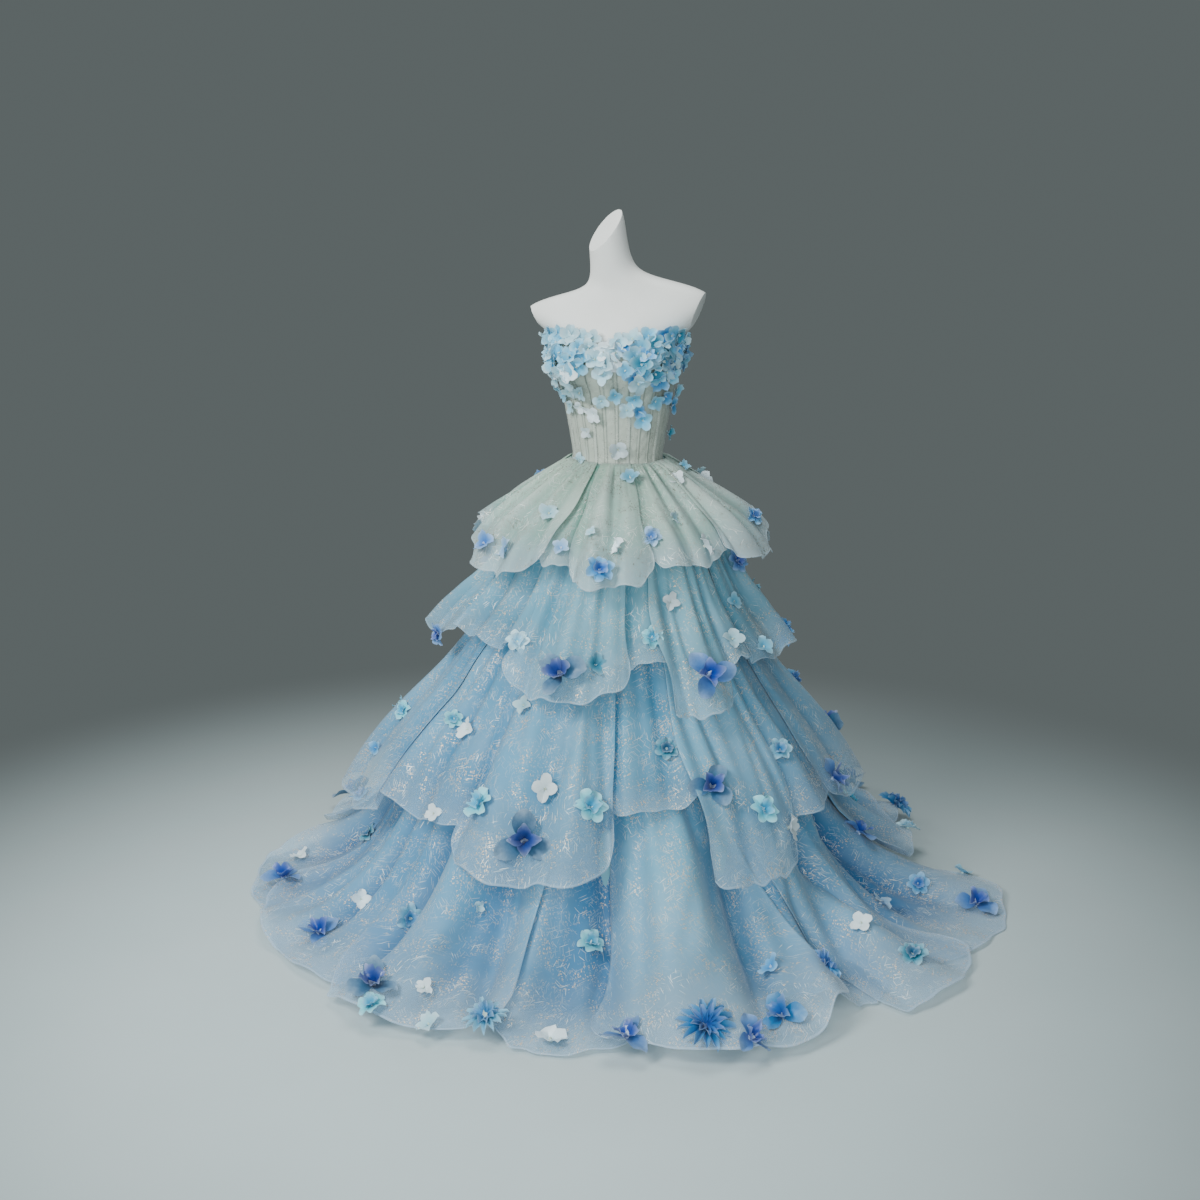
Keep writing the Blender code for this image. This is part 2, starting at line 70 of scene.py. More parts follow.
SENSOR = 36.0

# ---------------------------------------------------------------- sizes of the gown, in metres
ORGANZA = 0.0009        # the walls of the cloths
SATIN = 0.0012
TULLE = 0.0014
TAPE = 0.0006
FLOWER_SILK = 0.0004
STITCH_HEIGHT = 0.0035  # how far a flower's heart stands off the cloth
BODICE_CLOTH = 0.0018   # the bodice and its lining together
EASE = 0.0055           # space between the form and the bodice
CUP_PADDING = 0.0035
CUP_ANGLE = 36.0        # from the front to the middle of a cup
BONE_RIDGE = 0.0010
SEAM_DIP = 0.0009
PANEL_GAP = 0.06        # degrees between a panel's edge and its seam
CASING_HALF = 2.6       # half a boning casing's width in degrees
BODICE_FOOT = 1.052
NECKLINE = ((0.0, 1.322), (14.0, 1.330), (36.0, 1.345), (62.0, 1.335), (95.0, 1.312), (140.0, 1.292),
            (180.0, 1.285))
FOLD_COLUMNS = 44       # crests and dips round the skirt, in turn
LAYER = 0.0124          # space between petal layers at the hem
LAYER_TOP = 0.0027      # the same at the seam
NORMAL_STEP = 0.004     # length of profile over which its slope is taken
COLUMNS_PER_DEGREE = 1.45
PETAL_COLUMNS = (26, 74)        # fewest and most points across a petal, and down it
PETAL_ROWS = (28, 62)
ROW_STEP = 0.0125
HEM_LINES = (0.990, 0.9935, 0.997, 1.0)     # shares of the length at which the hem's own rows lie
HEM_ROLL = 0.0011
EDGE_TUCK = 0.004       # how far a petal's side edges turn in
SEED_STEP = 1.3         # sets each row's small folds apart from the next row's
PETAL_PATTERN_STEP = 0.037      # how far the pattern moves along the cloth for each degree
PANEL_PATTERN_STEP = 0.011
UNDERSKIRT_GRID = (70, 221)
UNDERSKIRT_HEM_Z = 0.010
PANEL_LINES = 64
CASING_GRID = (60, 9)
FORM_SIDES = 40
CUT_EDGE = 0.0022       # rounding of the form's flat cuts
SHARP_CUT = 38.0        # angles in degrees past which an edge stays sharp
SHARP_PETAL = 50.0

FORM_SECTIONS = (
    ("z", "half_width", "half_depth", "shift_x", "shift_y"),
    (0.880, 0.118, 0.092, 0.000, 0.004),
    (0.892, 0.142, 0.112, 0.000, 0.004),
    (0.925, 0.152, 0.119, 0.000, 0.004),
    (0.970, 0.142, 0.112, 0.000, 0.003),
    (1.015, 0.116, 0.092, 0.000, 0.000),
    (1.060, 0.100, 0.078, 0.000, -0.002),
    (1.100, 0.104, 0.080, 0.000, -0.002),
    (1.160, 0.114, 0.088, 0.000, -0.002),
    (1.220, 0.124, 0.100, 0.000, -0.006),
    (1.270, 0.133, 0.116, 0.000, -0.012),
    (1.305, 0.138, 0.116, 0.000, -0.010),
    (1.340, 0.151, 0.104, 0.000, -0.003),
    (1.375, 0.190, 0.088, 0.000, 0.004),
    (1.402, 0.222, 0.071, 0.000, 0.008),
    (1.425, 0.214, 0.058, 0.000, 0.010),
    (1.443, 0.166, 0.052, -0.002, 0.011),
    (1.456, 0.112, 0.049, -0.006, 0.011),
    (1.468, 0.074, 0.047, -0.010, 0.010),
    (1.484, 0.053, 0.045, -0.014, 0.008),
    (1.515, 0.045, 0.043, -0.019, 0.004),
    (1.560, 0.042, 0.042, -0.024, 0.000),
    (1.640, 0.039, 0.040, -0.030, -0.006),
)
SHOULDER_TILT = 0.085
SIDE_TUCK = 0.08        # how much narrower the skirt hangs on its +X side
TUCK_BAND = (0.02, 0.20, 0.70, 0.86)    # the heights where the tuck begins, is full, and ends
NECK_CUT_POINT = (-0.030, -0.008, 1.578)
NECK_CUT_NORMAL = (-0.62, -0.50, 0.60)
ARM_CUT_POINT = (0.181, 0.0, 1.372)
ARM_CUT_NORMAL = (0.905, -0.10, -0.41)

PROFILE_NAMES = ("z", "side", "front")
PETAL_NAMES = ("name", "middle", "half", "hem", "rise", "layer", "lift")
UNDERSKIRT_PROFILE = (
    PROFILE_NAMES,
    (1.055, 0.1085, 0.0895),
    (1.020, 0.132, 0.116),
    (0.955, 0.180, 0.172),
    (0.700, 0.297, 0.300),
    (0.445, 0.420, 0.428),
    (0.240, 0.502, 0.514),
    (0.012, 0.588, 0.602),
)
PEPLUM_PROFILE = (
    PROFILE_NAMES,
    (1.0552, 0.1112, 0.0922),
    (1.030, 0.142, 0.127),
    (0.990, 0.192, 0.180),
    (0.950, 0.240, 0.234),
    (0.910, 0.282, 0.280),
    (0.870, 0.311, 0.312),
    (0.830, 0.328, 0.331),
    (0.780, 0.339, 0.343),
)
MIDDLE_PROFILE = (
    PROFILE_NAMES,
    (0.954, 0.1828, 0.1748),
    (0.920, 0.204, 0.199),
    (0.870, 0.236, 0.234),
    (0.810, 0.271, 0.273),
    (0.750, 0.310, 0.314),
    (0.690, 0.360, 0.366),
    (0.630, 0.404, 0.411),
    (0.570, 0.434, 0.441),
    (0.500, 0.456, 0.463),
)
LOWER_PROFILE = (
    PROFILE_NAMES,
    (0.699, 0.2998, 0.3028),
    (0.660, 0.322, 0.326),
    (0.600, 0.362, 0.370),
    (0.520, 0.420, 0.431),
    (0.440, 0.484, 0.496),
    (0.370, 0.536, 0.550),
    (0.300, 0.578, 0.592),
    (0.240, 0.606, 0.620),
    (0.160, 0.634, 0.648),
)
FLOOR_PROFILE = (
    PROFILE_NAMES,
    (0.444, 0.4236, 0.4316),
    (0.380, 0.456, 0.468),
    (0.310, 0.493, 0.507),
    (0.240, 0.530, 0.547),
    (0.175, 0.567, 0.586),
    (0.115, 0.612, 0.632),
    (0.068, 0.664, 0.685),
    (0.034, 0.728, 0.750),
    (0.014, 0.806, 0.828),
    (0.005, 0.890, 0.914),
    (0.002, 0.990, 1.012),
    (0.001, 1.050, 1.070),
)
PEPLUM_PETALS = (
    PETAL_NAMES,
    ("front", 6, 17, 0.822, 0.055, 2, 0.006),
    ("right", 41, 24, 0.852, 0.060, 1, 0.008),
    ("side_right", 77, 22, 0.836, 0.070, 2, 0.026),
    ("rear_right", 117, 25, 0.830, 0.060, 1, 0.010),
    ("back_right", 158, 26, 0.822, 0.055, 2, 0.010),
    ("back_left", 202, 26, 0.830, 0.055, 1, 0.010),
    ("rear_left", 241, 23, 0.826, 0.060, 2, 0.012),
    ("side_left", 277, 22, 0.890, 0.040, 0, 0.018),
    ("left", 317, 27, 0.822, 0.075, 2, 0.010),
    ("left_inner", 346, 13, 0.858, 0.050, 0, 0.004),
)
MIDDLE_PETALS = (
    PETAL_NAMES,
    ("front_left", 354, 20, 0.580, 0.080, 2, 0.010),
    ("front", 19, 12, 0.655, 0.045, 0, 0.000),
    ("right", 38, 13, 0.545, 0.060, 2, 0.014),
    ("side_right", 57, 15, 0.632, 0.050, 0, 0.008),
    ("far_right", 82, 20, 0.600, 0.060, 1, 0.008),
    ("rear_right", 117, 26, 0.585, 0.060, 0, 0.008),
    ("back", 160, 28, 0.570, 0.065, 2, 0.010),
    ("rear_left", 209, 30, 0.585, 0.060, 1, 0.008),
    ("side_left", 263, 34, 0.598, 0.075, 2, 0.014),
    ("left", 316, 27, 0.664, 0.055, 1, 0.010),
)
LOWER_PETALS = (
    PETAL_NAMES,
    ("front_left", 351, 20, 0.226, 0.110, 2, 0.016),
    ("front", 19, 16, 0.372, 0.050, 0, 0.000),
    ("right", 44, 14, 0.205, 0.110, 2, 0.012),
    ("side_right", 67, 17, 0.292, 0.085, 0, 0.010),
    ("far_right", 95, 20, 0.235, 0.080, 1, 0.010),
    ("rear_right", 131, 26, 0.215, 0.080, 0, 0.006),
    ("back", 176, 29, 0.200, 0.080, 2, 0.008),
    ("rear_left", 225, 29, 0.215, 0.080, 1, 0.006),
    ("side_left", 277, 33, 0.205, 0.110, 2, 0.014),
    ("left", 319, 25, 0.300, 0.080, 1, 0.008),
)
FLOOR_PETALS = (
    PETAL_NAMES,
    ("front", 3, 13, 0.925, 0.100, 0, 0.000),
    ("front_right", 27, 18, 0.985, 0.150, 2, 0.055),
    ("right_inner", 48, 9, 0.900, 0.060, 0, 0.000),
    ("right", 60, 12, 0.990, 0.110, 1, 0.012),
    ("side_right", 81, 15, 0.985, 0.120, 0, 0.000),
    ("far_right", 107, 17, 0.780, 0.090, 2, 0.014),
    ("rear_right", 138, 20, 0.860, 0.110, 0, 0.006),
    ("back_right", 172, 20, 1.010, 0.110, 2, 0.035),
    ("back_left", 206, 20, 1.005, 0.110, 0, 0.008),
    ("rear_left", 243, 26, 0.860, 0.110, 2, 0.020),
    ("side_left", 284, 18, 0.930, 0.120, 0, 0.000),
    ("left", 307, 20, 0.920, 0.110, 1, 0.010),
    ("front_left", 337, 18, 0.950, 0.110, 2, 0.040),
)

# Rows of petals: their folds, the flutes between them and the gathers at the seam
ROWS = (
    ("row", "profile", "petals", "fold", "crest", "flutes", "flute", "gathers", "gather"),
    ("peplum", PEPLUM_PROFILE, PEPLUM_PETALS, 0.038, 0, 32, 0.017, 100, 0.0030),
    ("middle", MIDDLE_PROFILE, MIDDLE_PETALS, 0.046, 1, 52, 0.012, 104, 0.0030),
    ("lower", LOWER_PROFILE, LOWER_PETALS, 0.056, 0, 50, 0.011, 108, 0.0028),
    ("floor", FLOOR_PROFILE, FLOOR_PETALS, 0.088, 1, 54, 0.014, 112, 0.0026),
)
ROW_COLOURS = {         # at the seam, at the hem and in the dips, where the aqua under-layer shows through and painted shade darkens the folds
    "peplum": ((234, 240, 222), (204, 230, 226), (26, 146, 124)),
    "middle": ((158, 214, 224), (148, 208, 228), (42, 146, 176)),
    "lower": ((134, 202, 226), (142, 200, 230), (22, 134, 180)),
    "floor": ((112, 190, 218), (156, 202, 232), (6, 114, 174)),
}
HEM_COLOUR = (204, 222, 240)
# Painted shade of the right and the back, multiplied into the cloth's colour
SHADE_COLOUR = (214, 216, 240)
PAINTED_SIDE_SHADE = (0.34, 0.17, 0.05)        # painted shade: red, green and blue taken from the side at 305 degrees
SATIN_COLOURS = ((118, 176, 184), (86, 158, 180))
SILVER_AND_CHAMPAGNE = ((246, 250, 250), (250, 212, 172))
# Strokes of glitter: each layer's turn, length, width and shift, how much of its cell a stroke may
# fill, and the scale, roughness, gain and base of the cloud that gathers the strokes
SCRATCHES = (((0.45, 0.090, 0.0052, 3.1), (-0.70, 0.072, 0.0046, 6.2), (1.25, 0.056, 0.0050, 9.3),
              (-1.40, 0.080, 0.0048, 12.4)), 0.125, (10.0, 0.70, 5.0, -1.9))
FLAKES = (((0.3, 0.0085, 0.0036, 17.0), (1.9, 0.0100, 0.0034, 23.0)), 0.25, (15.0, 0.75, 8.0, -3.6))
ROUND_ENDS = (2.2, 1.25)        # how full the end of a petal is and how much of its rise it takes
SQUARE_ENDS = (4.5, 0.85)
SQUARE_PETALS = {("middle", "right"), ("middle", "side_right"), ("lower", "right"),
                 ("lower", "side_right"), ("peplum", "side_left")}

# Soft creases: start and end are shares of the row's length, lean is in degrees, a depth below zero
# sinks into the cloth
CREASES = (
    ("row", "angle", "start", "end", "lean", "width", "depth"),
    ("floor", 8, 0.02, 0.92, 1, 0.030, -0.055),
    ("floor", 21, 0.06, 0.98, -9, 0.082, 0.050),
    ("floor", 37, 0.02, 0.99, -17, 0.034, -0.066),
    ("floor", 46, 0.15, 1.12, -18, 0.040, 0.048),
    ("floor", 58, 0.08, 0.99, -19, 0.030, -0.050),
    ("floor", 356, 0.08, 0.88, -3, 0.040, 0.026),
    ("floor", 347, 0.10, 0.92, 6, 0.026, -0.036),
    ("floor", 337, 0.10, 0.92, 5, 0.036, 0.030),
    ("floor", 326, 0.10, 0.90, 5, 0.026, -0.034),
    ("floor", 314, 0.12, 0.88, 4, 0.034, 0.022),
    ("floor", 302, 0.10, 0.90, 5, 0.028, -0.032),
    ("floor", 78, 0.10, 0.92, -10, 0.030, -0.036),
    ("floor", 67, 0.10, 0.92, -14, 0.036, 0.024),
    ("lower", 7, 0.06, 1.00, 4, 0.022, -0.020),
    ("lower", 334, 0.08, 0.94, 5, 0.020, -0.016),
    ("lower", 34, 0.06, 0.98, 3, 0.018, -0.016),
    ("lower", 300, 0.10, 0.94, 4, 0.022, -0.014),
    ("middle", 6, 0.10, 1.00, 3, 0.014, -0.010),
    ("middle", 30, 0.08, 1.00, 2, 0.014, -0.012),
    ("middle", 326, 0.10, 0.96, 4, 0.016, -0.010),
    ("floor", 16, 0.25, 0.80, -4, 0.016, -0.008),
    ("floor", 24, 0.30, 0.74, -6, 0.013, -0.007),
    ("floor", 29, 0.22, 0.85, -11, 0.014, -0.008),
    ("floor", 328, 0.20, 0.78, 8, 0.017, -0.010),
    ("floor", 340, 0.34, 0.90, -7, 0.014, -0.008),
    ("floor", 349, 0.15, 0.62, 4, 0.012, -0.006),
    ("floor", 312, 0.26, 0.86, 10, 0.016, -0.008),
    ("floor", 50, 0.24, 0.88, -16, 0.014, -0.008),
    ("floor", 84, 0.30, 0.90, 6, 0.016, -0.008),
    ("lower", 344, 0.18, 0.92, 10, 0.016, -0.010),
    ("lower", 355, 0.30, 0.96, -8, 0.013, -0.008),
    ("lower", 2, 0.10, 0.70, 5, 0.010, -0.006),
    ("lower", 40, 0.15, 0.90, 6, 0.012, -0.008),
    ("lower", 50, 0.34, 0.98, -4, 0.011, -0.007),
    ("lower", 68, 0.22, 0.84, 5, 0.013, -0.007),
    ("lower", 312, 0.16, 0.86, 9, 0.015, -0.009),
    ("lower", 324, 0.30, 0.90, -6, 0.012, -0.006),
    ("middle", 348, 0.20, 0.94, 7, 0.011, -0.007),
    ("middle", 0, 0.35, 1.00, -6, 0.010, -0.006),
    ("middle", 36, 0.18, 0.92, 4, 0.010, -0.007),
    ("middle", 44, 0.40, 1.00, -4, 0.009, -0.005),
    ("middle", 312, 0.24, 0.90, 6, 0.011, -0.006),
    ("peplum", 2, 0.30, 1.00, 4, 0.009, -0.005),
    ("peplum", 12, 0.22, 0.90, -4, 0.008, -0.004),
    ("peplum", 36, 0.26, 0.96, 5, 0.009, -0.006),
    ("peplum", 50, 0.34, 1.00, -5, 0.008, -0.005),
    ("peplum", 308, 0.24, 0.94, 6, 0.010, -0.006),
    ("peplum", 326, 0.30, 1.00, -4, 0.009, -0.005),
)

# Flowers of the skirt's front: each is sewn to the cloth nearest to its angle, reach and height
FLOWERS = (
    ("angle", "reach", "height", "kind", "width", "hue"),
    (313, 0.11, 1.06, "hydrangea", 0.026, "pale"),
    (22, 0.14, 1.03, "hydrangea", 0.036, "sky"),
    (63, 0.17, 1.02, "hydrangea", 0.032, "white"),
    (98, 0.16, 1.04, "hydrangea", 0.026, "sky"),
    (93, 0.32, 0.92, "double", 0.045, "blue"),
    (331, 0.25, 0.96, "hydrangea", 0.042, "pale"),
    (39, 0.25, 0.95, "hydrangea", 0.028, "pale"),
    (314, 0.36, 0.89, "hydrangea", 0.046, "violet"),
    (322, 0.34, 0.89, "hydrangea", 0.042, "lilac"),
    (346, 0.31, 0.90, "hydrangea", 0.034, "lilac"),
    (359, 0.30, 0.94, "hydrangea", 0.024, "pale"),
    (3, 0.36, 0.87, "double", 0.052, "blue"),
    (11, 0.31, 0.91, "hydrangea", 0.036, "white"),
    (25, 0.28, 0.92, "double", 0.042, "lilac"),
    (47, 0.32, 0.90, "hydrangea", 0.044, "white"),
    (87, 0.29, 0.82, "double", 0.048, "violet"),
    (33, 0.31, 0.78, "hydrangea", 0.036, "white"),
    (69, 0.32, 0.75, "hydrangea", 0.034, "sky"),
    (289, 0.43, 0.64, "double", 0.046, "violet"),
    (336, 0.40, 0.70, "double", 0.044, "pale"),
    (22, 0.37, 0.72, "double", 0.044, "cyan"),
    (53, 0.39, 0.70, "hydrangea", 0.042, "pale"),
    (70, 0.41, 0.66, "hydrangea", 0.040, "sky"),
    (354, 0.46, 0.66, "orchid", 0.086, "deep"),
    (3, 0.42, 0.67, "hydrangea", 0.044, "teal"),
    (37, 0.44, 0.64, "orchid", 0.084, "violet"),
    (283, 0.52, 0.43, "double", 0.038, "cyan"),
    (317, 0.47, 0.50, "double", 0.038, "cyan"),
    (323, 0.47, 0.49, "hydrangea", 0.046, "white"),
    (284, 0.59, 0.34, "hydrangea", 0.034, "blue"),
    (340, 0.42, 0.56, "hydrangea", 0.036, "pale"),
    (24, 0.45, 0.48, "double", 0.044, "teal"),
    (59, 0.49, 0.44, "double", 0.044, "sky"),
    (32, 0.55, 0.43, "orchid", 0.078, "deep"),
    (78, 0.58, 0.34, "orchid", 0.070, "violet"),
    (353, 0.54, 0.42, "hydrangea", 0.050, "white"),
    (340, 0.59, 0.38, "double", 0.062, "cyan"),
    (4, 0.57, 0.40, "double", 0.062, "cyan"),
    (44, 0.58, 0.36, "double", 0.056, "cyan"),
    (51, 0.62, 0.32, "hydrangea", 0.050, "white"),
    (351, 0.62, 0.33, "orchid", 0.096, "deep"),
    (327, 0.60, 0.33, "hydrangea", 0.034, "white"),
    (287, 0.62, 0.13, "double", 0.048, "teal"),
    (90, 0.61, 0.16, "orchid", 0.066, "violet"),
    (277, 0.81, 0.01, "hydrangea", 0.040, "white"),
    (288, 0.83, 0.03, "orchid", 0.076, "violet"),
    (85, 0.75, 0.05, "double", 0.044, "blue"),
    (72, 0.70, 0.07, "hydrangea", 0.042, "lilac"),
    (310, 0.69, 0.08, "hydrangea", 0.036, "white"),
    (85, 0.89, 0.01, "orchid", 0.076, "violet"),
    (342, 0.65, 0.17, "hydrangea", 0.024, "pale"),
    (326, 0.67, 0.10, "double", 0.056, "sky"),
    (57, 0.74, 0.10, "hydrangea", 0.042, "white"),
    (311, 0.80, 0.03, "orchid", 0.076, "violet"),
    (6, 0.64, 0.12, "double", 0.050, "cyan"),
    (58, 0.87, 0.06, "double", 0.052, "teal"),
    (35, 0.75, 0.09, "hydrangea", 0.044, "blue"),
    (44, 0.77, 0.05, "daisy", 0.070, "bright"),
    (335, 0.90, 0.07, "orchid", 0.084, "deep"),
    (337, 0.94, 0.05, "double", 0.050, "cyan"),
    (341, 0.85, 0.06, "hydrangea", 0.034, "white"),
    (32, 0.88, 0.05, "orchid", 0.078, "bright"),
    (352, 0.88, 0.05, "daisy", 0.074, "sky"),
    (345, 0.92, 0.03, "hydrangea", 0.046, "pale"),
    (21, 0.92, 0.06, "daisy", 0.094, "bright"),
    (11, 0.91, 0.04, "orchid", 0.074, "violet"),
    (26, 0.96, 0.05, "orchid", 0.070, "violet"),
    (1, 0.88, 0.01, "hydrangea", 0.056, "white"),
)
# How many flowers are scattered over each row's sides and back, and between which shares of it
SCATTERED = (
    ("row", "count", "start", "end"),
    ("peplum", 9, 0.35, 0.92),
    ("middle", 12, 0.45, 0.92),
    ("lower", 14, 0.40, 0.92),
    ("floor", 24, 0.45, 0.94),
)
SCATTER_FROM = 98.0
SCATTER_TO = 268.0
SCATTERED_KINDS = (("hydrangea", "white"), ("double", "cyan"), ("orchid", "deep"), ("hydrangea", "sky"),
                   ("daisy", "bright"), ("double", "blue"), ("double", "pale"), ("hydrangea", "lilac"))
SCATTERED_WIDTHS = {"hydrangea": 0.042, "double": 0.052, "orchid": 0.080, "daisy": 0.076}
GROWN = 1.22            # open width of a flower over its width between petal tips, seen from the front
# Blossoms that trail down the bodice below the dense border
TRAILING = (
    ("angle", "height", "width", "hue"),
    (-74, 1.222, 0.034, "sky"),
    (-56, 1.218, 0.036, "sky"),
    (-42, 1.224, 0.034, "pale"),
    (-29, 1.226, 0.036, "pale"),
    (-48, 1.186, 0.030, "pale"),
    (-18, 1.174, 0.038, "white"),
    (-33, 1.190, 0.030, "white"),
    (-29, 1.130, 0.028, "white"),
    (-8, 1.208, 0.034, "pale"),
    (6, 1.222, 0.034, "sky"),
    (8, 1.092, 0.042, "white"),
    (17, 1.186, 0.034, "pale"),
    (24, 1.212, 0.036, "sky"),
    (35, 1.160, 0.040, "sky"),
    (30, 1.182, 0.030, "blue"),
    (48, 1.205, 0.036, "sky"),
    (62, 1.214, 0.036, "blue"),
    (82, 1.186, 0.034, "blue"),
    (88, 1.220, 0.036, "sky"),
    (92, 1.120, 0.030, "teal"),
)
# Petals, heart and bead of each hue
HUES = {
    "white": ((236, 246, 250), (220, 236, 246), (206, 216, 190)),
    "pale": ((196, 230, 240), (168, 214, 232), (214, 230, 206)),
    "sky": ((134, 206, 230), (88, 172, 216), (206, 228, 214)),
    "blue": ((84, 178, 224), (38, 132, 204), (176, 208, 226)),
    "violet": ((92, 156, 214), (8, 92, 192), (178, 200, 232)),
    "lilac": ((160, 200, 230), (108, 166, 216), (220, 228, 236)),
    "teal": ((60, 170, 196), (30, 130, 172), (190, 220, 220)),
    "cyan": ((136, 224, 236), (72, 192, 222), (204, 238, 238)),
    "deep": ((84, 144, 180), (0, 80, 172), (0, 50, 110)),
    "bright": ((0, 164, 220), (0, 130, 204), (0, 86, 156)),
}
# Fans of petals from the outside in: their count, length, width, tilt in degrees, hollow, width at
# the tip, cloth and how finely they are subdivided
BLOSSOMS = {
    "hydrangea": ((4, 0.50, 0.48, 20, 0.12, 0.60, "petal", 0),),
    "double": ((6, 0.50, 0.40, 12, 0.14, 0.60, "petal", 1), (5, 0.33, 0.31, 44, 0.18, 0.60, "heart", 1)),
    "orchid": ((3, 0.58, 0.46, 10, 0.12, 0.48, "sheer", 1), (4, 0.38, 0.27, 46, 0.24, 0.40, "glossy", 1)),
    "daisy": ((15, 0.50, 0.14, 8, 0.20, 0.46, "petal", 0), (11, 0.34, 0.12, 32, 0.24, 0.46, "heart", 0)),
}
BEAD = {"hydrangea": 0.07, "double": 0.07, "orchid": 0.09, "daisy": 0.10}
FAN_PARTS = {"petal": (0, 0), "sheer": (0, 1), "heart": (1, 0), "glossy": (1, 2)}   # hue and material
PETAL_OUTLINE = ((0.0, 0.24, 0.0), (0.25, 0.74, 0.05), (0.5, 1.0, 0.08), (0.75, 0.96, 0.05))

BODICE_PANELS = (
    ("name", "start", "end"),
    ("front_centre", -20, 20),
    ("front_right", 20, 60),
    ("side_right", 60, 100),
    ("back_right", 100, 170),
    ("back_placket", 170, 190),
    ("back_left", 190, 260),
    ("side_left", 260, 300),
    ("front_left", 300, 340),
)
CASING_ANGLES = (-60, -20, 20, 60)


# ---------------------------------------------------------------- small helpers
def rows_of(table):
    """The rows of a table as dictionaries keyed by its column names."""
    return [dict(zip(table[0], row)) for row in table[1:]]


def columns_of(table):
    """The columns of a table of numbers as arrays keyed by their names."""
    return dict(zip(table[0], np.array(table[1:]).T))


def linear(colour):
    """A colour given as three numbers up to 255, as the shader's linear colour."""
    parts = np.asarray(colour, float) / 255.0
    return np.where(parts <= 0.04045, parts / 12.92, ((parts + 0.055) / 1.055) ** 2.4)


def blend(first, second, share):
    """From the first colour to the second by each point's share."""
    share = share[..., None]
    return first * (1 - share) + second * share


def smooth_step(x):
    x = np.clip(x, 0.0, 1.0)
    return x * x * (3 - 2 * x)


def bell(offset, width):
    """1 in the middle, falling off smoothly to both sides."""
    return np.exp(-(offset / width) ** 2)


def off_front(angle):
    """The same angle, counted from -180 to 180."""
    return (angle + 180.0) % 360.0 - 180.0


def smooth_curve(x, knots, values):
    """Monotone cubic through the knots, so that a profile bends without overshooting."""
    x = np.asarray(x, float)
    step = np.diff(knots)
    slope = np.diff(values) / step
    tangent = np.concatenate(([slope[0]], (slope[1:] + slope[:-1]) / 2, [slope[-1]]))
    for k, s in enumerate(slope):
        steepest = 3.0 * abs(s) / max(np.hypot(tangent[k], tangent[k + 1]), 1e-12)
        tangent[k:k + 2] *= min(1.0, steepest)
    k = np.clip(np.searchsorted(knots, x) - 1, 0, len(step) - 1)
    h = step[k]
    u = (x - knots[k]) / h
    return ((2 * u**3 - 3 * u**2 + 1) * values[k] + (u**3 - 2 * u**2 + u) * h * tangent[k]
            + (3 * u**2 - 2 * u**3) * values[k + 1] + (u**3 - u**2) * h * tangent[k + 1])


def link_object(name, data, place=(0.0, 0.0, 0.0), turn=(0.0, 0.0, 0.0)):
    made = bpy.data.objects.new(name, data)
    made.location = place
    made.rotation_euler = turn
    bpy.context.scene.collection.objects.link(made)
    return made


def give_material(piece, material):
    piece.data.materials.clear()
    piece.data.materials.append(material)


# ---------------------------------------------------------------- sheets of cloth
def add_mesh(name, points, faces, uv, tint, material):
    """A mesh with its cloth coordinates in metres and a tint whose alpha is a mask."""
    mesh = bpy.data.meshes.new(name)
    mesh.from_pydata(points.reshape(-1, 3).tolist(), [], faces)
    loops = np.zeros(len(mesh.loops), np.int32)
    mesh.loops.foreach_get("vertex_index", loops)
    cloth = mesh.uv_layers.new(name="cloth")
    cloth.data.foreach_set("uv", uv.reshape(-1, 2)[loops].ravel())
    colour = mesh.color_attributes.new("tint", "FLOAT_COLOR", "POINT")
    colour.data.foreach_set("color", tint.reshape(-1, 4).ravel())
    mesh.materials.append(material)
    mesh.shade_smooth()
    return link_object(name, mesh)


def add_wall(piece, thickness):
    wall = piece.modifiers.new("wall", "SOLIDIFY")
    wall.thickness = thickness
    wall.offset = 0.0


def grid_faces(rows, columns, closed=False):
    """Faces of a grid stored row by row, facing outwards on a sheet that hangs."""
    faces = []
    for i in range(rows - 1):
        for j in range(columns if closed else columns - 1):
            a = i * columns + j
            b = i * columns + (j + 1) % columns
            faces.append((a, a + columns, b + columns, b))
    return faces


def grid_steps(points):
    """The lengths of the steps across and down a grid of points."""
    return [np.linalg.norm(np.diff(points, axis=axis), axis=2) for axis in (1, 0)]


def cloth_coordinates(points):
    """Metres across from the middle column and down from the seam, for each point."""
    across, down = grid_steps(points)
    run = np.pad(np.cumsum(across, axis=1), ((0, 0), (1, 0)))
    run -= run[:, [points.shape[1] // 2]]
    drop = np.pad(np.cumsum(down, axis=0), ((1, 0), (0, 0)))
    return np.stack((run, drop), axis=2)


def add_sheet(name, solid, points, colour, mask, fabric, shift=0.0, closed=False):
    """A sheet in place of its plain solid. A closed one's last column of points repeats its first."""
    uv = cloth_coordinates(points) + shift
    if closed:
        points = points[:, :-1]
        uv = uv[:, :-1]
    tint = np.concatenate((np.broadcast_to(colour, mask.shape + (3,)), mask[..., None]), axis=-1)
    sheet = add_mesh(name, points, grid_faces(*points.shape[:2], closed), uv, tint, fabric.material)
    add_wall(sheet, fabric.wall)
    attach(sheet, "root")
    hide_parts(solid)
    return sheet


def declare_sheet(points):
    """The length of a sheet's flat cut, worked out from its own grid of points and not kept."""
    across, down = grid_steps(points)
    length = float(down.sum(axis=0).max())
    length = round(length, 3)


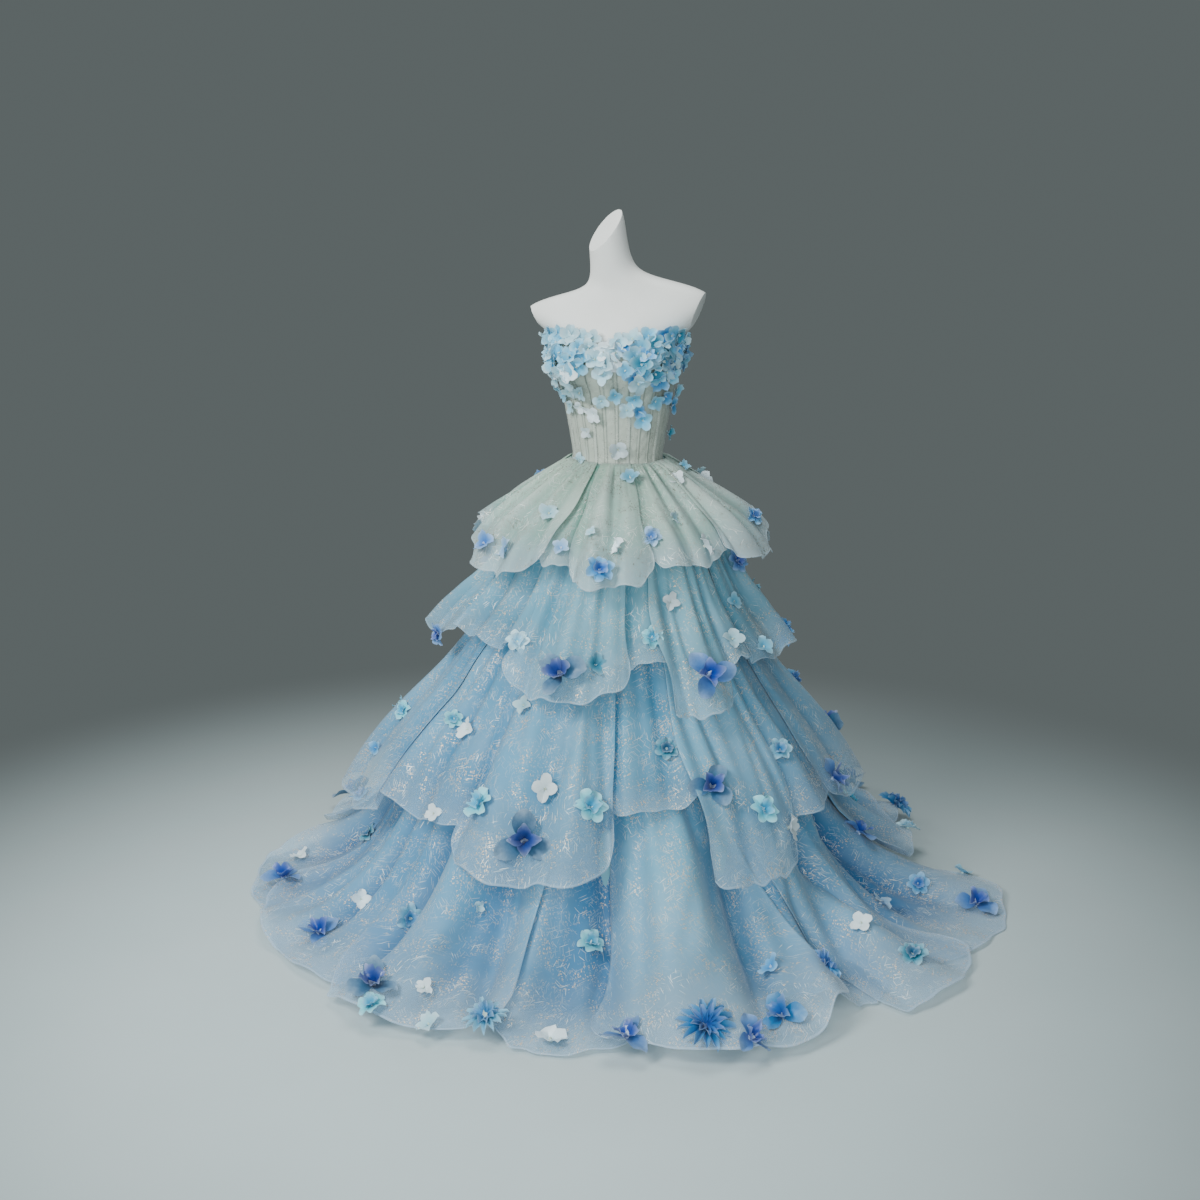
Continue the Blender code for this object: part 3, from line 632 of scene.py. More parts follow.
# ---------------------------------------------------------------- materials
class Finish:
    """A material being made: its nodes are added one by one, and the last ones feed its shader."""

    def __init__(self, name):
        self.material = bpy.data.materials.new(name)
        self.material.use_nodes = True
        self.tree = self.material.node_tree

    def feed(self, socket, value):
        """Link a socket to another one, or set it to a number, a vector or a colour."""
        if isinstance(value, bpy.types.NodeSocket):
            self.tree.links.new(value, socket)
        elif socket.type == "RGBA":
            socket.default_value = (*value, 1.0)
        else:
            socket.default_value = value

    def add(self, kind, inputs, **settings):
        """Add a node, set it up, feed its inputs and give its outputs."""
        made = self.tree.nodes.new("ShaderNode" + kind)
        for name, value in settings.items():
            setattr(made, name, value)
        for socket, value in inputs.items():
            self.feed(made.inputs[socket], value)
        return made.outputs

    def tint(self):
        """The piece's own colour and mask."""
        outputs = self.add("Attribute", {}, attribute_name="tint")
        return outputs["Color"], outputs["Alpha"]

    def cloth(self):
        return self.add("UVMap", {}, uv_map="cloth")[0]

    def place(self):
        return self.add("TexCoord", {})["Object"]

    def mapped(self, place, scale, shift=(0.0, 0.0, 0.0)):
        return self.add("Mapping", {"Vector": place, "Location": shift, "Scale": scale})[0]

    def maths(self, operation, *values, clamp=False):
        return self.add("Math", dict(enumerate(values)), operation=operation, use_clamp=clamp)[0]

    def times(self, value, factor):
        return self.maths("MULTIPLY", value, factor)

    def graded(self, value, factor, base, clamp=False):
        """The value times the factor, added to the base."""
        return self.maths("MULTIPLY_ADD", value, factor, base, clamp=clamp)

    def mix(self, share, first, second, blend_type="MIX"):
        inputs = {0: share, 6: first, 7: second}
        return self.add("Mix", inputs, data_type="RGBA", blend_type=blend_type)[2]

    def noise(self, place, scale, detail=3.0, roughness=0.55):
        inputs = {"Vector": place, "Scale": scale, "Detail": detail, "Roughness": roughness}
        return self.add("TexNoise", inputs)[0]

    def cells(self, place, scale, feature="F1"):
        inputs = {"Vector": place, "Scale": scale}
        return self.add("TexVoronoi", inputs, voronoi_dimensions="2D", feature=feature)

    def bump(self, height, strength, distance):
        return self.add("Bump", {"Height": height, "Strength": strength, "Distance": distance})[0]

    def done(self, looks, sheer=False):
        """Feed the shader's own sockets and give the finished material."""
        for socket, value in looks.items():
            self.feed(self.tree.nodes["Principled BSDF"].inputs[socket], value)
        if sheer:
            self.material.surface_render_method = "DITHERED"
        return self.material


def strokes(make, cloth, share, layers, size, cloud):
    """Layers of strokes, one in each of a share of long thin cells, gathered where a cloud is dense."""
    drawn = None
    for turn, length, width, shift in layers:
        turned = make.add("VectorRotate", {"Vector": cloth, "Angle": turn}, rotation_type="Z_AXIS")[0]
        cells = make.cells(make.mapped(turned, (1 / length, 1 / width, 1.0), (shift, 2.3 * shift, 0.0)), 1.0)
        chance = make.add("SeparateColor", {0: cells["Color"]})
        near = make.maths("LESS_THAN", cells["Distance"], size)
        kept = make.maths("LESS_THAN", chance[0], share)
        layer = make.times(make.times(near, kept), make.graded(chance[1], 0.75, 0.25))
        drawn = layer if drawn is None else make.maths("MAXIMUM", drawn, layer)
    scale, roughness, gain, base = cloud
    dense = make.graded(make.noise(cloth, scale, 3.0, roughness), gain, base, clamp=True)
    return make.times(drawn, dense)


def glittered(make, cloth, share, under, colours, roughness, metallic):
    """Where glitter lies on a cloth, and the shader's sockets that it changes."""
    scratches = strokes(make, cloth, share, *SCRATCHES)
    flakes = strokes(make, cloth, share, *FLAKES)
    drawn = make.maths("MAXIMUM", scratches, flakes)
    sparkle = make.mix(flakes, *map(linear, colours))
    return drawn, {
        "Base Color": make.mix(drawn, under, sparkle),
        "Roughness": make.graded(drawn, -0.25, roughness),
        "Metallic": make.times(drawn, metallic),
    }


def organza_material(name, opacity, glitter_share, glitter_colours=SILVER_AND_CHAMPAGNE):
    """Sheer cloth, whose tint's alpha says how much more than its thinnest it covers."""
    make = Finish(name)
    tint, cover = make.tint()
    cloth = make.cloth()
    haze = make.graded(make.noise(cloth, 7.0, 3.0, 0.6), 0.50, -0.19, clamp=True)
    hazy = make.mix(haze, tint, linear((206, 226, 240)))
    drawn, looks = glittered(make, cloth, glitter_share, hazy, glitter_colours, 0.62, 0.35)
    weave = make.cells(cloth, 620.0)["Distance"]
    crumple = make.noise(cloth, 34.0, 2.0)
    return make.done({
        **looks,
        "Alpha": make.maths("MAXIMUM", make.graded(cover, 0.70 - opacity, opacity), drawn),
        "Sheen Weight": 0.35,
        "Sheen Roughness": 0.45,
        "Specular IOR Level": 0.35,
        "Normal": make.bump(make.graded(weave, 0.12, crumple), 0.30, 0.0025),
    }, sheer=True)


def bodice_material():
    """Glitter tulle, whose tint's alpha darkens the edges of the bones and the seams."""
    make = Finish("bodice_glitter_tulle")
    tint, line = make.tint()
    cloth = make.cloth()
    haze = make.graded(make.noise(cloth, 22.0, 4.0, 0.6), 0.7, -0.2, clamp=True)
    hazy = make.mix(haze, tint, linear((216, 222, 214)))
    lined = make.mix(line, hazy, linear((108, 120, 112)))
    finer = make.mapped(cloth, (1.8, 1.8, 1.0))
    _, looks = glittered(make, finer, 0.6, lined, ((240, 240, 230), (112, 110, 96)), 0.6, 0.4)
    net = make.cells(cloth, 420.0, "DISTANCE_TO_EDGE")["Distance"]
    return make.done({**looks, "Sheen Weight": 0.3, "Normal": make.bump(net, 0.35, 0.0012)})


def satin_material():
    make = Finish("aqua_satin")
    tint, _ = make.tint()
    cloth = make.cloth()
    threads = make.noise(make.mapped(cloth, (900.0, 60.0, 1.0)), 1.0, 2.0)
    cloud = make.times(make.noise(cloth, 5.0), 0.5)
    return make.done({
        "Base Color": make.mix(cloud, tint, linear((120, 178, 190))),
        "Roughness": make.graded(threads, 0.2, 0.38),
        "Sheen Weight": 0.25,
        "Normal": make.bump(threads, 0.15, 0.001),
    })


def paint_material(name, cloud, colours, roughness, grain_scale, strength, distance):
    """Paint in clouds of two tones, the paler one duller, over a fine grain."""
    make = Finish(name)
    place = make.place()
    clouds = make.noise(place, *cloud)
    return make.done({
        "Base Color": make.mix(clouds, *map(linear, colours)),
        "Roughness": make.graded(clouds, *roughness),
        "Normal": make.bump(make.noise(place, grain_scale, 2.0), strength, distance),
    })


def silk_material(name, gloss, opacity, veins):
    """Silk of the flowers: the tint's alpha runs from 0 at the heart to 1 at the rim of a petal; the rim is
    paler, partly its own paler edge and partly a painted highlight, and the heart is darker with painted
    shade.
    """
    make = Finish(name)
    tint, along = make.tint()
    mottle = make.noise(make.place(), 160.0)
    heart = make.maths("SUBTRACT", 1.0, along)
    rim = make.times(make.maths("POWER", along, 3.0), 0.42)
    # Paler rims: partly the silk's own paler edge, partly a painted highlight.
    colour = make.mix(rim, tint, linear((235, 243, 250)))
    # Painted shade: each petal darker towards its heart.
    colour = make.mix(make.times(heart, 0.85), colour, tint, "MULTIPLY")
    looks = {
        "Base Color": make.mix(make.times(mottle, veins), colour, tint, "MULTIPLY"),
        "Roughness": make.graded(mottle, 0.15, gloss),
        "Sheen Weight": 0.2,
        "Normal": make.bump(mottle, 0.25, 0.0006),
    }
    if opacity < 1.0:
        looks["Alpha"] = make.graded(heart, 1.0 - opacity, opacity)
    return make.done(looks, sheer=opacity < 1.0)


def floor_material():
    """A painted pool of light: pale round the gown and, further out, darkening to glow with the backdrop's
    own colour, so that no edge shows.
    """
    make = Finish("floor_with_painted_light_pool")
    place = make.place()
    # Painted falloff of light: the floor darkens and glows with its distance from the gown.
    centred = make.mapped(place, (1.0, 1.0, 1.0), (0.0, 0.5, 0.0))
    reach = make.add("VectorMath", {0: centred}, operation="LENGTH")["Value"]
    far = make.add("MapRange", {"Value": reach, "From Min": 0.7, "From Max": 2.35},
                   interpolation_type="SMOOTHSTEP")[0]
    near = make.mix(make.noise(place, 3.0, 4.0), linear((192, 206, 208)), linear((200, 213, 215)))
    return make.done({
        "Base Color": make.mix(far, near, (0.0, 0.0, 0.0)),
        "Roughness": 0.8,
        "Specular IOR Level": 0.0,
        "Emission Color": BACKDROP,
        "Emission Strength": far,
    })


# ---------------------------------------------------------------- the shape of the skirt
class Profile:
    """A curve from seam to hem, read by the length of cloth below the seam."""

    def __init__(self, table):
        self.columns = columns_of(table)
        run = np.hypot(np.diff(self.columns["z"]), np.diff(self.columns["side"]))
        self.knots = np.concatenate(([0.0], np.cumsum(run)))
        self.length = self.knots[-1]

    def length_to_height(self, height):
        return float(np.interp(-height, -self.columns["z"], self.knots))

    def length_to_reach(self, reach):
        return float(np.interp(reach, self.columns["front"], self.knots))

    def read(self, name, s):
        return smooth_curve(s, self.knots, self.columns[name])

    def points(self, s, angle, out):
        """Points s below the seam, moved out along the profile's normal."""
        s = np.clip(s, 0.0, self.length)
        lower = np.minimum(s + NORMAL_STEP, self.length)
        upper = np.maximum(s - NORMAL_STEP, 0.0)
        fall = self.read("z", upper) - self.read("z", lower)
        spread = self.read("side", lower) - self.read("side", upper)
        tilt = np.hypot(spread, fall)
        a = np.radians(angle)
        radial = fall / tilt * out
        x = (self.read("side", s) + radial) * np.sin(a)
        y = -(self.read("front", s) + radial) * np.cos(a)
        z = self.read("z", s) + spread / tilt * out
        tuck = np.where(x > 0, SIDE_TUCK * np.interp(z, TUCK_BAND, (0.0, 1.0, 1.0, 0.0)), 0.0)
        return np.stack((x * (1 - tuck), y, z), axis=-1)


def uneven_angles(count, jitter, seed):
    """Angles round the skirt, each off its even place by up to about the jitter in degrees."""
    k = np.arange(count)
    return 360.0 / count * k + jitter * (np.sin(2.1 * k + seed) * 0.55 + np.sin(5.3 * k + 1.0 + seed) * 0.4)


FOLD_ANGLES = uneven_angles(FOLD_COLUMNS, 2.0, 0.0)


def fold_depths(crest):
    """How far each column stands out, near 0 in a dip and up to 1 on a crest."""
    k = np.arange(FOLD_COLUMNS)
    depth = 0.70 + 0.30 * np.sin(1.7 * k + 2.0 * crest)
    shallow = 0.04 + 0.30 * np.clip(np.sin(2.9 * k + 1.3 * crest) * 2.5 - 1.0, 0.0, 1.0)
    return np.where(k % 2 == crest, depth, shallow)


def wave(angle, knots, heights):
    """A smooth closed wave through the heights at uneven angles round the skirt."""
    turn = (angle - knots[0]) % 360.0
    spans = np.append(knots - knots[0], 360.0)
    levels = np.append(heights, heights[0])
    k = np.clip(np.searchsorted(spans, turn, side="right") - 1, 0, len(knots) - 1)
    ease = 0.5 - 0.5 * np.cos(np.pi * (turn - spans[k]) / (spans[k + 1] - spans[k]))
    return levels[k] * (1 - ease) + levels[k + 1] * ease


def small_wave(angle, count, seed):
    """A finer wave of crests and dips of uneven height, between 0 and 1."""
    k = np.arange(2 * count)
    heights = np.where(k % 2 == 0, 0.65 + 0.35 * np.sin(2.7 * k + seed), 0.08 + 0.08 * np.sin(4.1 * k))
    return wave(angle, uneven_angles(2 * count, 0.38 * 180.0 / count, seed), heights)


def crease_relief(row, angle, share, radius):
    """Soft troughs laid one by one, each with its own length, lean, width and depth."""
    relief = np.zeros_like(angle)
    for crease in rows_of(CREASES):
        if crease["row"] != row:
            continue
        along = (share - crease["start"]) / (crease["end"] - crease["start"])
        centre = crease["angle"] + crease["lean"] * (along - 0.5)
        offset = np.radians(off_front(angle - centre)) * radius
        fade = smooth_step(along / 0.3) * smooth_step((1.0 - along) / 0.3)
        relief += crease["depth"] * fade * bell(offset, crease["width"])
    return relief


class Row:
    """One row of petals: everything that its petals share."""

    def __init__(self, spec, seed):
        self.name = spec["row"]
        self.on_floor = self.name == "floor"
        self.profile = Profile(spec["profile"])
        self.petals = rows_of(spec["petals"])
        self.depths = fold_depths(spec["crest"])
        self.spec = spec
        self.seed = seed
        self.longest = max(self.tip(petal) for petal in self.petals)

    def tip(self, petal):
        """The petal's length: its hem is a height or, on the floor row, a reach."""
        measure = self.profile.length_to_reach if self.on_floor else self.profile.length_to_height
        return measure(petal["hem"])

    def main_fold(self, angle):
        return wave(angle, FOLD_ANGLES, self.depths)

    def growth(self, share):
        """Folds start flat at the seam and deepen downwards, and lie down again on the floor."""
        share = np.clip(share, 0.0, 1.2)
        if self.on_floor:
            return share**0.8 * (1.0 - 0.90 * np.clip((share - 0.60) / 0.40, 0.0, 1.0) ** 1.2)
        return share**0.95

    def swell(self, share):
        """Where a petal stands off the skirt: at its hem or, on the floor row, half way down."""
        return np.sin(np.pi * np.clip(share, 0, 1) ** 1.4) if self.on_floor else share**2.2

    def surface(self, s, angle, out):
        """The folded surface, and how deep in a fold each point lies, 0 in a dip to 1."""
        share = s / self.longest
        drift = 2.4 * np.sin(5.0 * share + 0.11 * angle) + 1.3 * np.sin(11.0 * share + 0.23 * angle)
        angle = angle + share * drift
        growth = self.growth(share)
        main = self.main_fold(angle)
        slope = (self.main_fold(angle + 0.25) - self.main_fold(angle - 0.25)) / 0.5
        flutes = small_wave(angle, self.spec["flutes"], self.seed)
        gathers = small_wave(angle, self.spec["gathers"], self.seed + 3.0)
        flute_size = self.spec["flute"] * smooth_step(share / 0.12) * (1.0 - 0.35 * share)
        if self.on_floor:
            flute_size = flute_size * (1.0 - 0.7 * smooth_step((share - 0.6) / 0.35))
        gather_size = self.spec["gather"] * smooth_step(share / 0.02) * np.exp(-share / 0.30)
        radius = np.interp(s, self.profile.knots, self.profile.columns["side"])
        relief = crease_relief(self.name, angle, share, radius)
        broad = np.sin(np.radians(3.0 * angle) + self.seed) * np.sin(np.radians(5.0 * angle) + 2.0)
        raised = (out + self.spec["fold"] * growth * (main - 0.30) + flute_size * (flutes - 0.3)
                  + gather_size * gathers + 0.012 * growth * (0.5 + 0.5 * broad)
                  + relief * smooth_step(share / 0.2))
        if self.on_floor:
            sunk = 0.05 * (1 - smooth_step((share - 0.42) / 0.36))
            raised = np.maximum(raised, out * 0.5 * smooth_step((share - 0.5) / 0.3) - sunk)
        depth = 0.75 * main * (0.3 + 0.7 * smooth_step(share / 0.5)) + 0.25 * flutes + 8.0 * relief
        return self.profile.points(s, angle - 8.0 * growth * slope, raised), np.clip(depth, 0.0, 1.0)


def petal_grid(row, petal):
    """The petal's lengths and angles on a fine grid, with extra rows in the rolled hem."""
    columns = int(np.clip(2 * petal["half"] * COLUMNS_PER_DEGREE, *PETAL_COLUMNS))
    body = int(np.clip(row.longest / ROW_STEP, *PETAL_ROWS))
    lines = np.concatenate((np.linspace(0.0, 0.986, body), HEM_LINES))
    share, across = np.meshgrid(lines, np.linspace(-1.0, 1.0, columns), indexing="ij")
    across = np.clip(across * (1.0 + 0.18 * (1.0 - across**2)), -1.0, 1.0)
    power, fall_share = SQUARE_ENDS if (row.name, petal["name"]) in SQUARE_PETALS else ROUND_ENDS
    drop = fall_share * (1.0 - (1.0 - np.abs(across) ** power) ** (1 / power))
    fall = row.longest - row.tip(petal) + petal["rise"] * drop
    fall = fall + 0.004 * np.sin(across * 9.0 + petal["middle"])
    fall = fall + 0.003 * np.sin(across * 17.0 + petal["hem"] * 40)
    s = share * row.longest - fall * share**2.5
    return s, petal["middle"] + petal["half"] * across, share, across


def petal_sheet(row, petal):
    """The petal's points, how deep in a fold each one lies, and its share of the length and angle."""
    s, angle, share, across = petal_grid(row, petal)
    out = petal["layer"] * (LAYER_TOP + (LAYER - LAYER_TOP) * share)
    out = out + petal["lift"] * row.swell(share) * (1.0 - across**2) ** 2
    if petal["layer"] > 0:
        out = out - EDGE_TUCK * share * smooth_step((np.abs(across) - 0.8) / 0.2)
    points, depth = row.surface(s, angle, out + HEM_ROLL * bell(share - 0.994, 0.0035))
    points[..., 2] = np.maximum(points[..., 2], ORGANZA)
    return points, depth, share, angle


def facing(angle, middle, least):
    """From 0 where the cloth looks away from the middle angle to 1 where it faces it."""
    return smooth_step((np.cos(np.radians(angle - middle)) - least) / (1.0 - least))


def petal_tint(row, petal, depth, share, angle):
    """Seam colour to hem colour; in the dips the aqua under-layer showing through with painted shade, and a
    greyer lilac painted shade towards the right, the back and the side at 305 degrees.
    """
    top, bottom, dip = map(linear, ROW_COLOURS[row.name])
    keen = 0.9 if row.name == "peplum" else 1.7
    # Painted shade: the fold dips darker and more aqua, partly the aqua under-layer showing through.
    sunk = (1.0 - depth) ** keen * (0.78 - 0.12 * petal["layer"]) + 0.22 * (petal["layer"] == 0)
    sunk = np.clip(sunk, 0, 1) * smooth_step((1.02 - share) / 0.3)
    colour = blend(blend(top, bottom, share), dip, sunk)
    # Painted shade, a greyer lilac, towards the right and the back.
    colour = blend(colour, colour * linear(SHADE_COLOUR), 0.35 * facing(angle, 115.0, 0.1))
    # Painted shade on the side at 305 degrees, on every row but the peplum.
    if row.name != "peplum":
        colour = colour * (1.0 - facing(angle, 305.0, 0.3)[..., None] * np.array(PAINTED_SIDE_SHADE))
    rim = smooth_step((share - 0.989) / 0.004)
    pale = 0.36 * smooth_step((share - 0.66) / 0.34) + 0.28 * rim
    cover = 1.0 - smooth_step((share - 0.45) / 0.50)
    return blend(colour, linear(HEM_COLOUR), pale), np.clip(cover + 0.45 * rim, 0.0, 1.0)


def build_petals(rows, fabrics):
    """Hang every petal, and give each one's solid, sheet, points and fabric."""
    petals = []
    for row in rows:
        for petal in row.petals:
            solid = f"{row.name}_petal_{petal['name']}"
            points, depth, share, angle = petal_sheet(row, petal)
            colour, cover = petal_tint(row, petal, depth, share, angle)
            sheet = add_sheet(solid + "_cloth", solid, points, colour, cover, fabrics[row.name],
                              PETAL_PATTERN_STEP * petal["middle"])
            petals.append((solid, sheet, points, fabrics[row.name]))
    return petals


def build_underskirt(satin):
    profile = Profile(UNDERSKIRT_PROFILE)
    lines, columns = UNDERSKIRT_GRID
    s, angle = np.meshgrid(np.linspace(0.0, profile.length, lines), np.linspace(0.0, 360.0, columns),
                           indexing="ij")
    share = s / profile.length
    soft = wave(angle, FOLD_ANGLES, fold_depths(0)) * 0.006 * share**1.5
    points = profile.points(s, angle, -0.0035 * smooth_step(share / 0.1) + soft)
    points[..., 2] = np.maximum(points[..., 2], UNDERSKIRT_HEM_Z)
    points[:, -1] = points[:, 0]
    share = share[:, :-1]
    colour = blend(*map(linear, SATIN_COLOURS), share)
    sheet = add_sheet("underskirt_cloth", "underskirt", points, colour, np.ones_like(share), satin,
                      closed=True)
    declare_sheet(points)


# ---------------------------------------------------------------- the bodice
FORM = columns_of(FORM_SECTIONS)


def shoulder_lean(z):
    """How much of the shoulders' tilt a height takes: none at the bust and at the top of the neck."""
    return np.clip((z - 1.33) / 0.09, 0.0, 1.0) * np.clip((1.60 - z) / 0.10, 0.0, 1.0)


def form_points(z, angle, out):
    half_width, half_depth, shift_x, shift_y = (smooth_curve(z, FORM["z"], FORM[name])
                                                for name in FORM_SECTIONS[0][1:])
    a = np.radians(angle)
    grow = 0.020 * bell(z - 1.285, 0.048) * bell(np.abs(off_front(angle)) - CUP_ANGLE, 22.0) + out
    x = (half_width + grow) * np.sin(a) + shift_x
    y = -(half_depth + grow) * np.cos(a) + shift_y
    return np.stack((x, y, z + SHOULDER_TILT * shoulder_lean(z) * x), axis=-1)


def neckline(angle):
    """Height of the bodice's top edge."""
    turns, heights = np.array(NECKLINE).T
    return smooth_curve(np.abs(off_front(angle)), turns, heights)


def bodice_points(angle, down, out):
    top = neckline(angle)
    z = top + (BODICE_FOOT - top) * down
    cup = CUP_PADDING * bell(z - 1.275, 0.055)
    return form_points(z, angle, EASE + BODICE_CLOTH / 2 + cup + out)


def bone_places(span):
    """Where the boning lines lie on a panel, as shares of its width."""
    if span < 30:
        return (0.5,)
    return (0.33, 0.67) if span < 60 else (0.2, 0.4, 0.6, 0.8)


def build_bodice(tulle, tape):
    for panel in rows_of(BODICE_PANELS):
        start, end = panel["start"], panel["end"]
        angles = np.linspace(start + PANEL_GAP, end - PANEL_GAP, int(max(26, (end - start) * 0.9)))
        down, angle = np.meshgrid(np.linspace(0, 1, PANEL_LINES), angles, indexing="ij")
        ridge = np.zeros_like(angle)
        line = np.zeros_like(angle)
        for share in bone_places(end - start):
            offset = np.abs(angle - start - (end - start) * share)
            ridge += BONE_RIDGE * np.exp(-(offset / 1.1) ** 4)
            line = np.maximum(line, bell(offset - 1.9, 0.55))
        seam = bell(np.minimum(angle - start, end - angle), 0.9)
        ripple = 0.0005 * np.sin(down * 46.0 + angle * 0.21) * np.sin(down * 17.0 + angle * 0.4)
        points = bodice_points(angle, down, ridge - SEAM_DIP * seam + ripple * smooth_step(down / 0.1))
        # Painted shade on the bodice's +X side, from about 40 degrees round towards the back.
        painted_shade = 1.0 - 0.30 * smooth_step((angle - 38.0) / 40.0) * smooth_step((170.0 - angle) / 60.0)
        colour = painted_shade[..., None] * linear((188, 196, 182))
        mask = np.clip(0.85 * line + 0.8 * seam, 0.0, 1.0)
        solid = "bodice_" + panel["name"]
        sheet = add_sheet(solid + "_cloth", solid, points, colour, mask, tulle, PANEL_PATTERN_STEP * start)
        declare_sheet(points)
    for number, middle in enumerate(CASING_ANGLES, start=1):
        down, across = np.meshgrid(np.linspace(0.5, 0.985, CASING_GRID[0]),
                                   np.linspace(-1, 1, CASING_GRID[1]), indexing="ij")
        crown = BODICE_CLOTH / 2 + 0.0006 + BONE_RIDGE * (1 - across**4)
        points = bodice_points(middle + CASING_HALF * across, down, crown)
        stitch = np.clip(bell(np.abs(across) - 0.72, 0.10) * (np.sin(down * 420.0) > -0.2), 0, 1)
        strip = add_sheet(f"boning_casing_tape_{number}", f"boning_casing_{number}", points,
                          linear((196, 204, 192)), stitch, tape)
        declare_sheet(points)


# ---------------------------------------------------------------- modelling by hand
def start_piece(add_primitive, **sizes):
    """Add a primitive with nothing else selected, and open it for editing, selected all over."""
    bpy.ops.object.select_all(action="DESELECT")
    add_primitive(**sizes)
    bpy.ops.object.mode_set(mode="EDIT")
    bpy.ops.mesh.select_mode(type="VERT")
    bpy.ops.mesh.select_all(action="SELECT")
    return bpy.context.object


def select_where(piece, test):
    """Select the points of the piece in edit mode that pass the test of their place."""
    bpy.ops.mesh.select_all(action="DESELECT")
    mesh = bmesh.from_edit_mesh(piece.data)
    for corner in mesh.verts:
        if test(corner.co):
            corner.select_set(True)
    mesh.select_flush_mode()
    bmesh.update_edit_mesh(piece.data)


def smooth_over(piece, levels):
    bpy.ops.object.mode_set(mode="OBJECT")
    smooth = piece.modifiers.new("smooth", "SUBSURF")
    smooth.levels = levels
    smooth.render_levels = levels
    bpy.ops.object.modifier_apply(modifier="smooth")


def take_shape(piece):
    """The points and faces of a finished model, which is then put away."""
    bpy.ops.object.mode_set(mode="OBJECT")
    points = np.array([corner.co[:] for corner in piece.data.vertices])
    faces = [tuple(face.vertices) for face in piece.data.polygons]
    bpy.data.objects.remove(piece)
    return points, faces


# ---------------------------------------------------------------- the flowers
def model_fan(count, length, width, tilt, hollow, tip, finer):
    """One petal drawn out of a small grid, then copied round the centre."""
    fan = start_piece(bpy.ops.mesh.primitive_grid_add, x_subdivisions=2, y_subdivisions=4, size=1.0,
                      location=(0, 0, 0))
    bpy.ops.transform.translate(value=(0, 0.5, 0))
    for y, spread, lift in (*PETAL_OUTLINE, (1.0, tip, -0.03)):
        select_where(fan, lambda place: abs(place.y - y) < 0.01)
        bpy.ops.transform.resize(value=(spread, 1, 1), center_override=(0, y, 0))
        bpy.ops.transform.translate(value=(0, 0, lift))
    select_where(fan, lambda place: abs(place.x) < 0.01)
    bpy.ops.transform.translate(value=(0, 0, -hollow))
    select_where(fan, lambda place: abs(place.x) < 0.01 and place.y > 0.9)
    bpy.ops.transform.translate(value=(0, 0.07, 0))
    bpy.ops.mesh.select_all(action="SELECT")
    bpy.ops.transform.resize(value=(width, length, length), center_override=(0, 0, 0))
    bpy.ops.transform.translate(value=(0, 0.02, 0.02))
    bpy.ops.transform.rotate(value=-math.radians(tilt), orient_axis="X", center_override=(0, 0, 0))
    for _ in range(count - 1):
        bpy.ops.mesh.duplicate()
        bpy.ops.transform.rotate(value=2 * math.pi / count, orient_axis="Z", center_override=(0, 0, 0))
    if finer:
        smooth_over(fan, finer)
    return take_shape(fan)


def model_bead(radius):
    centre = (0, 0, 0.04)
    bead = start_piece(bpy.ops.mesh.primitive_ico_sphere_add, subdivisions=1, radius=radius, location=centre)
    bpy.ops.transform.resize(value=(1, 1, 0.7), center_override=centre)
    return take_shape(bead)


def model_blossoms():
    """Points, faces, place along each petal, hue part of each point and material of each face."""
    made = {}
    for kind, fans in BLOSSOMS.items():
        points, faces, rims, parts, cloths = [], [], [], [], []
        shapes = [(model_fan(*fan[:6], fan[7]), *FAN_PARTS[fan[6]]) for fan in fans]
        shapes.append((model_bead(BEAD[kind]), 2, 0))
        start = 0
        for (corners, sides), part, cloth in shapes:
            reach = np.linalg.norm(corners, axis=1)
            points.append(corners)
            rims.append(reach / reach.max())
            parts.append(np.full(len(corners), part))
            faces.extend(tuple(start + i for i in side) for side in sides)
            cloths.extend([cloth] * len(sides))
            start += len(corners)
        made[kind] = (np.concatenate(points), faces, np.concatenate(rims), np.concatenate(parts), cloths)
    return made


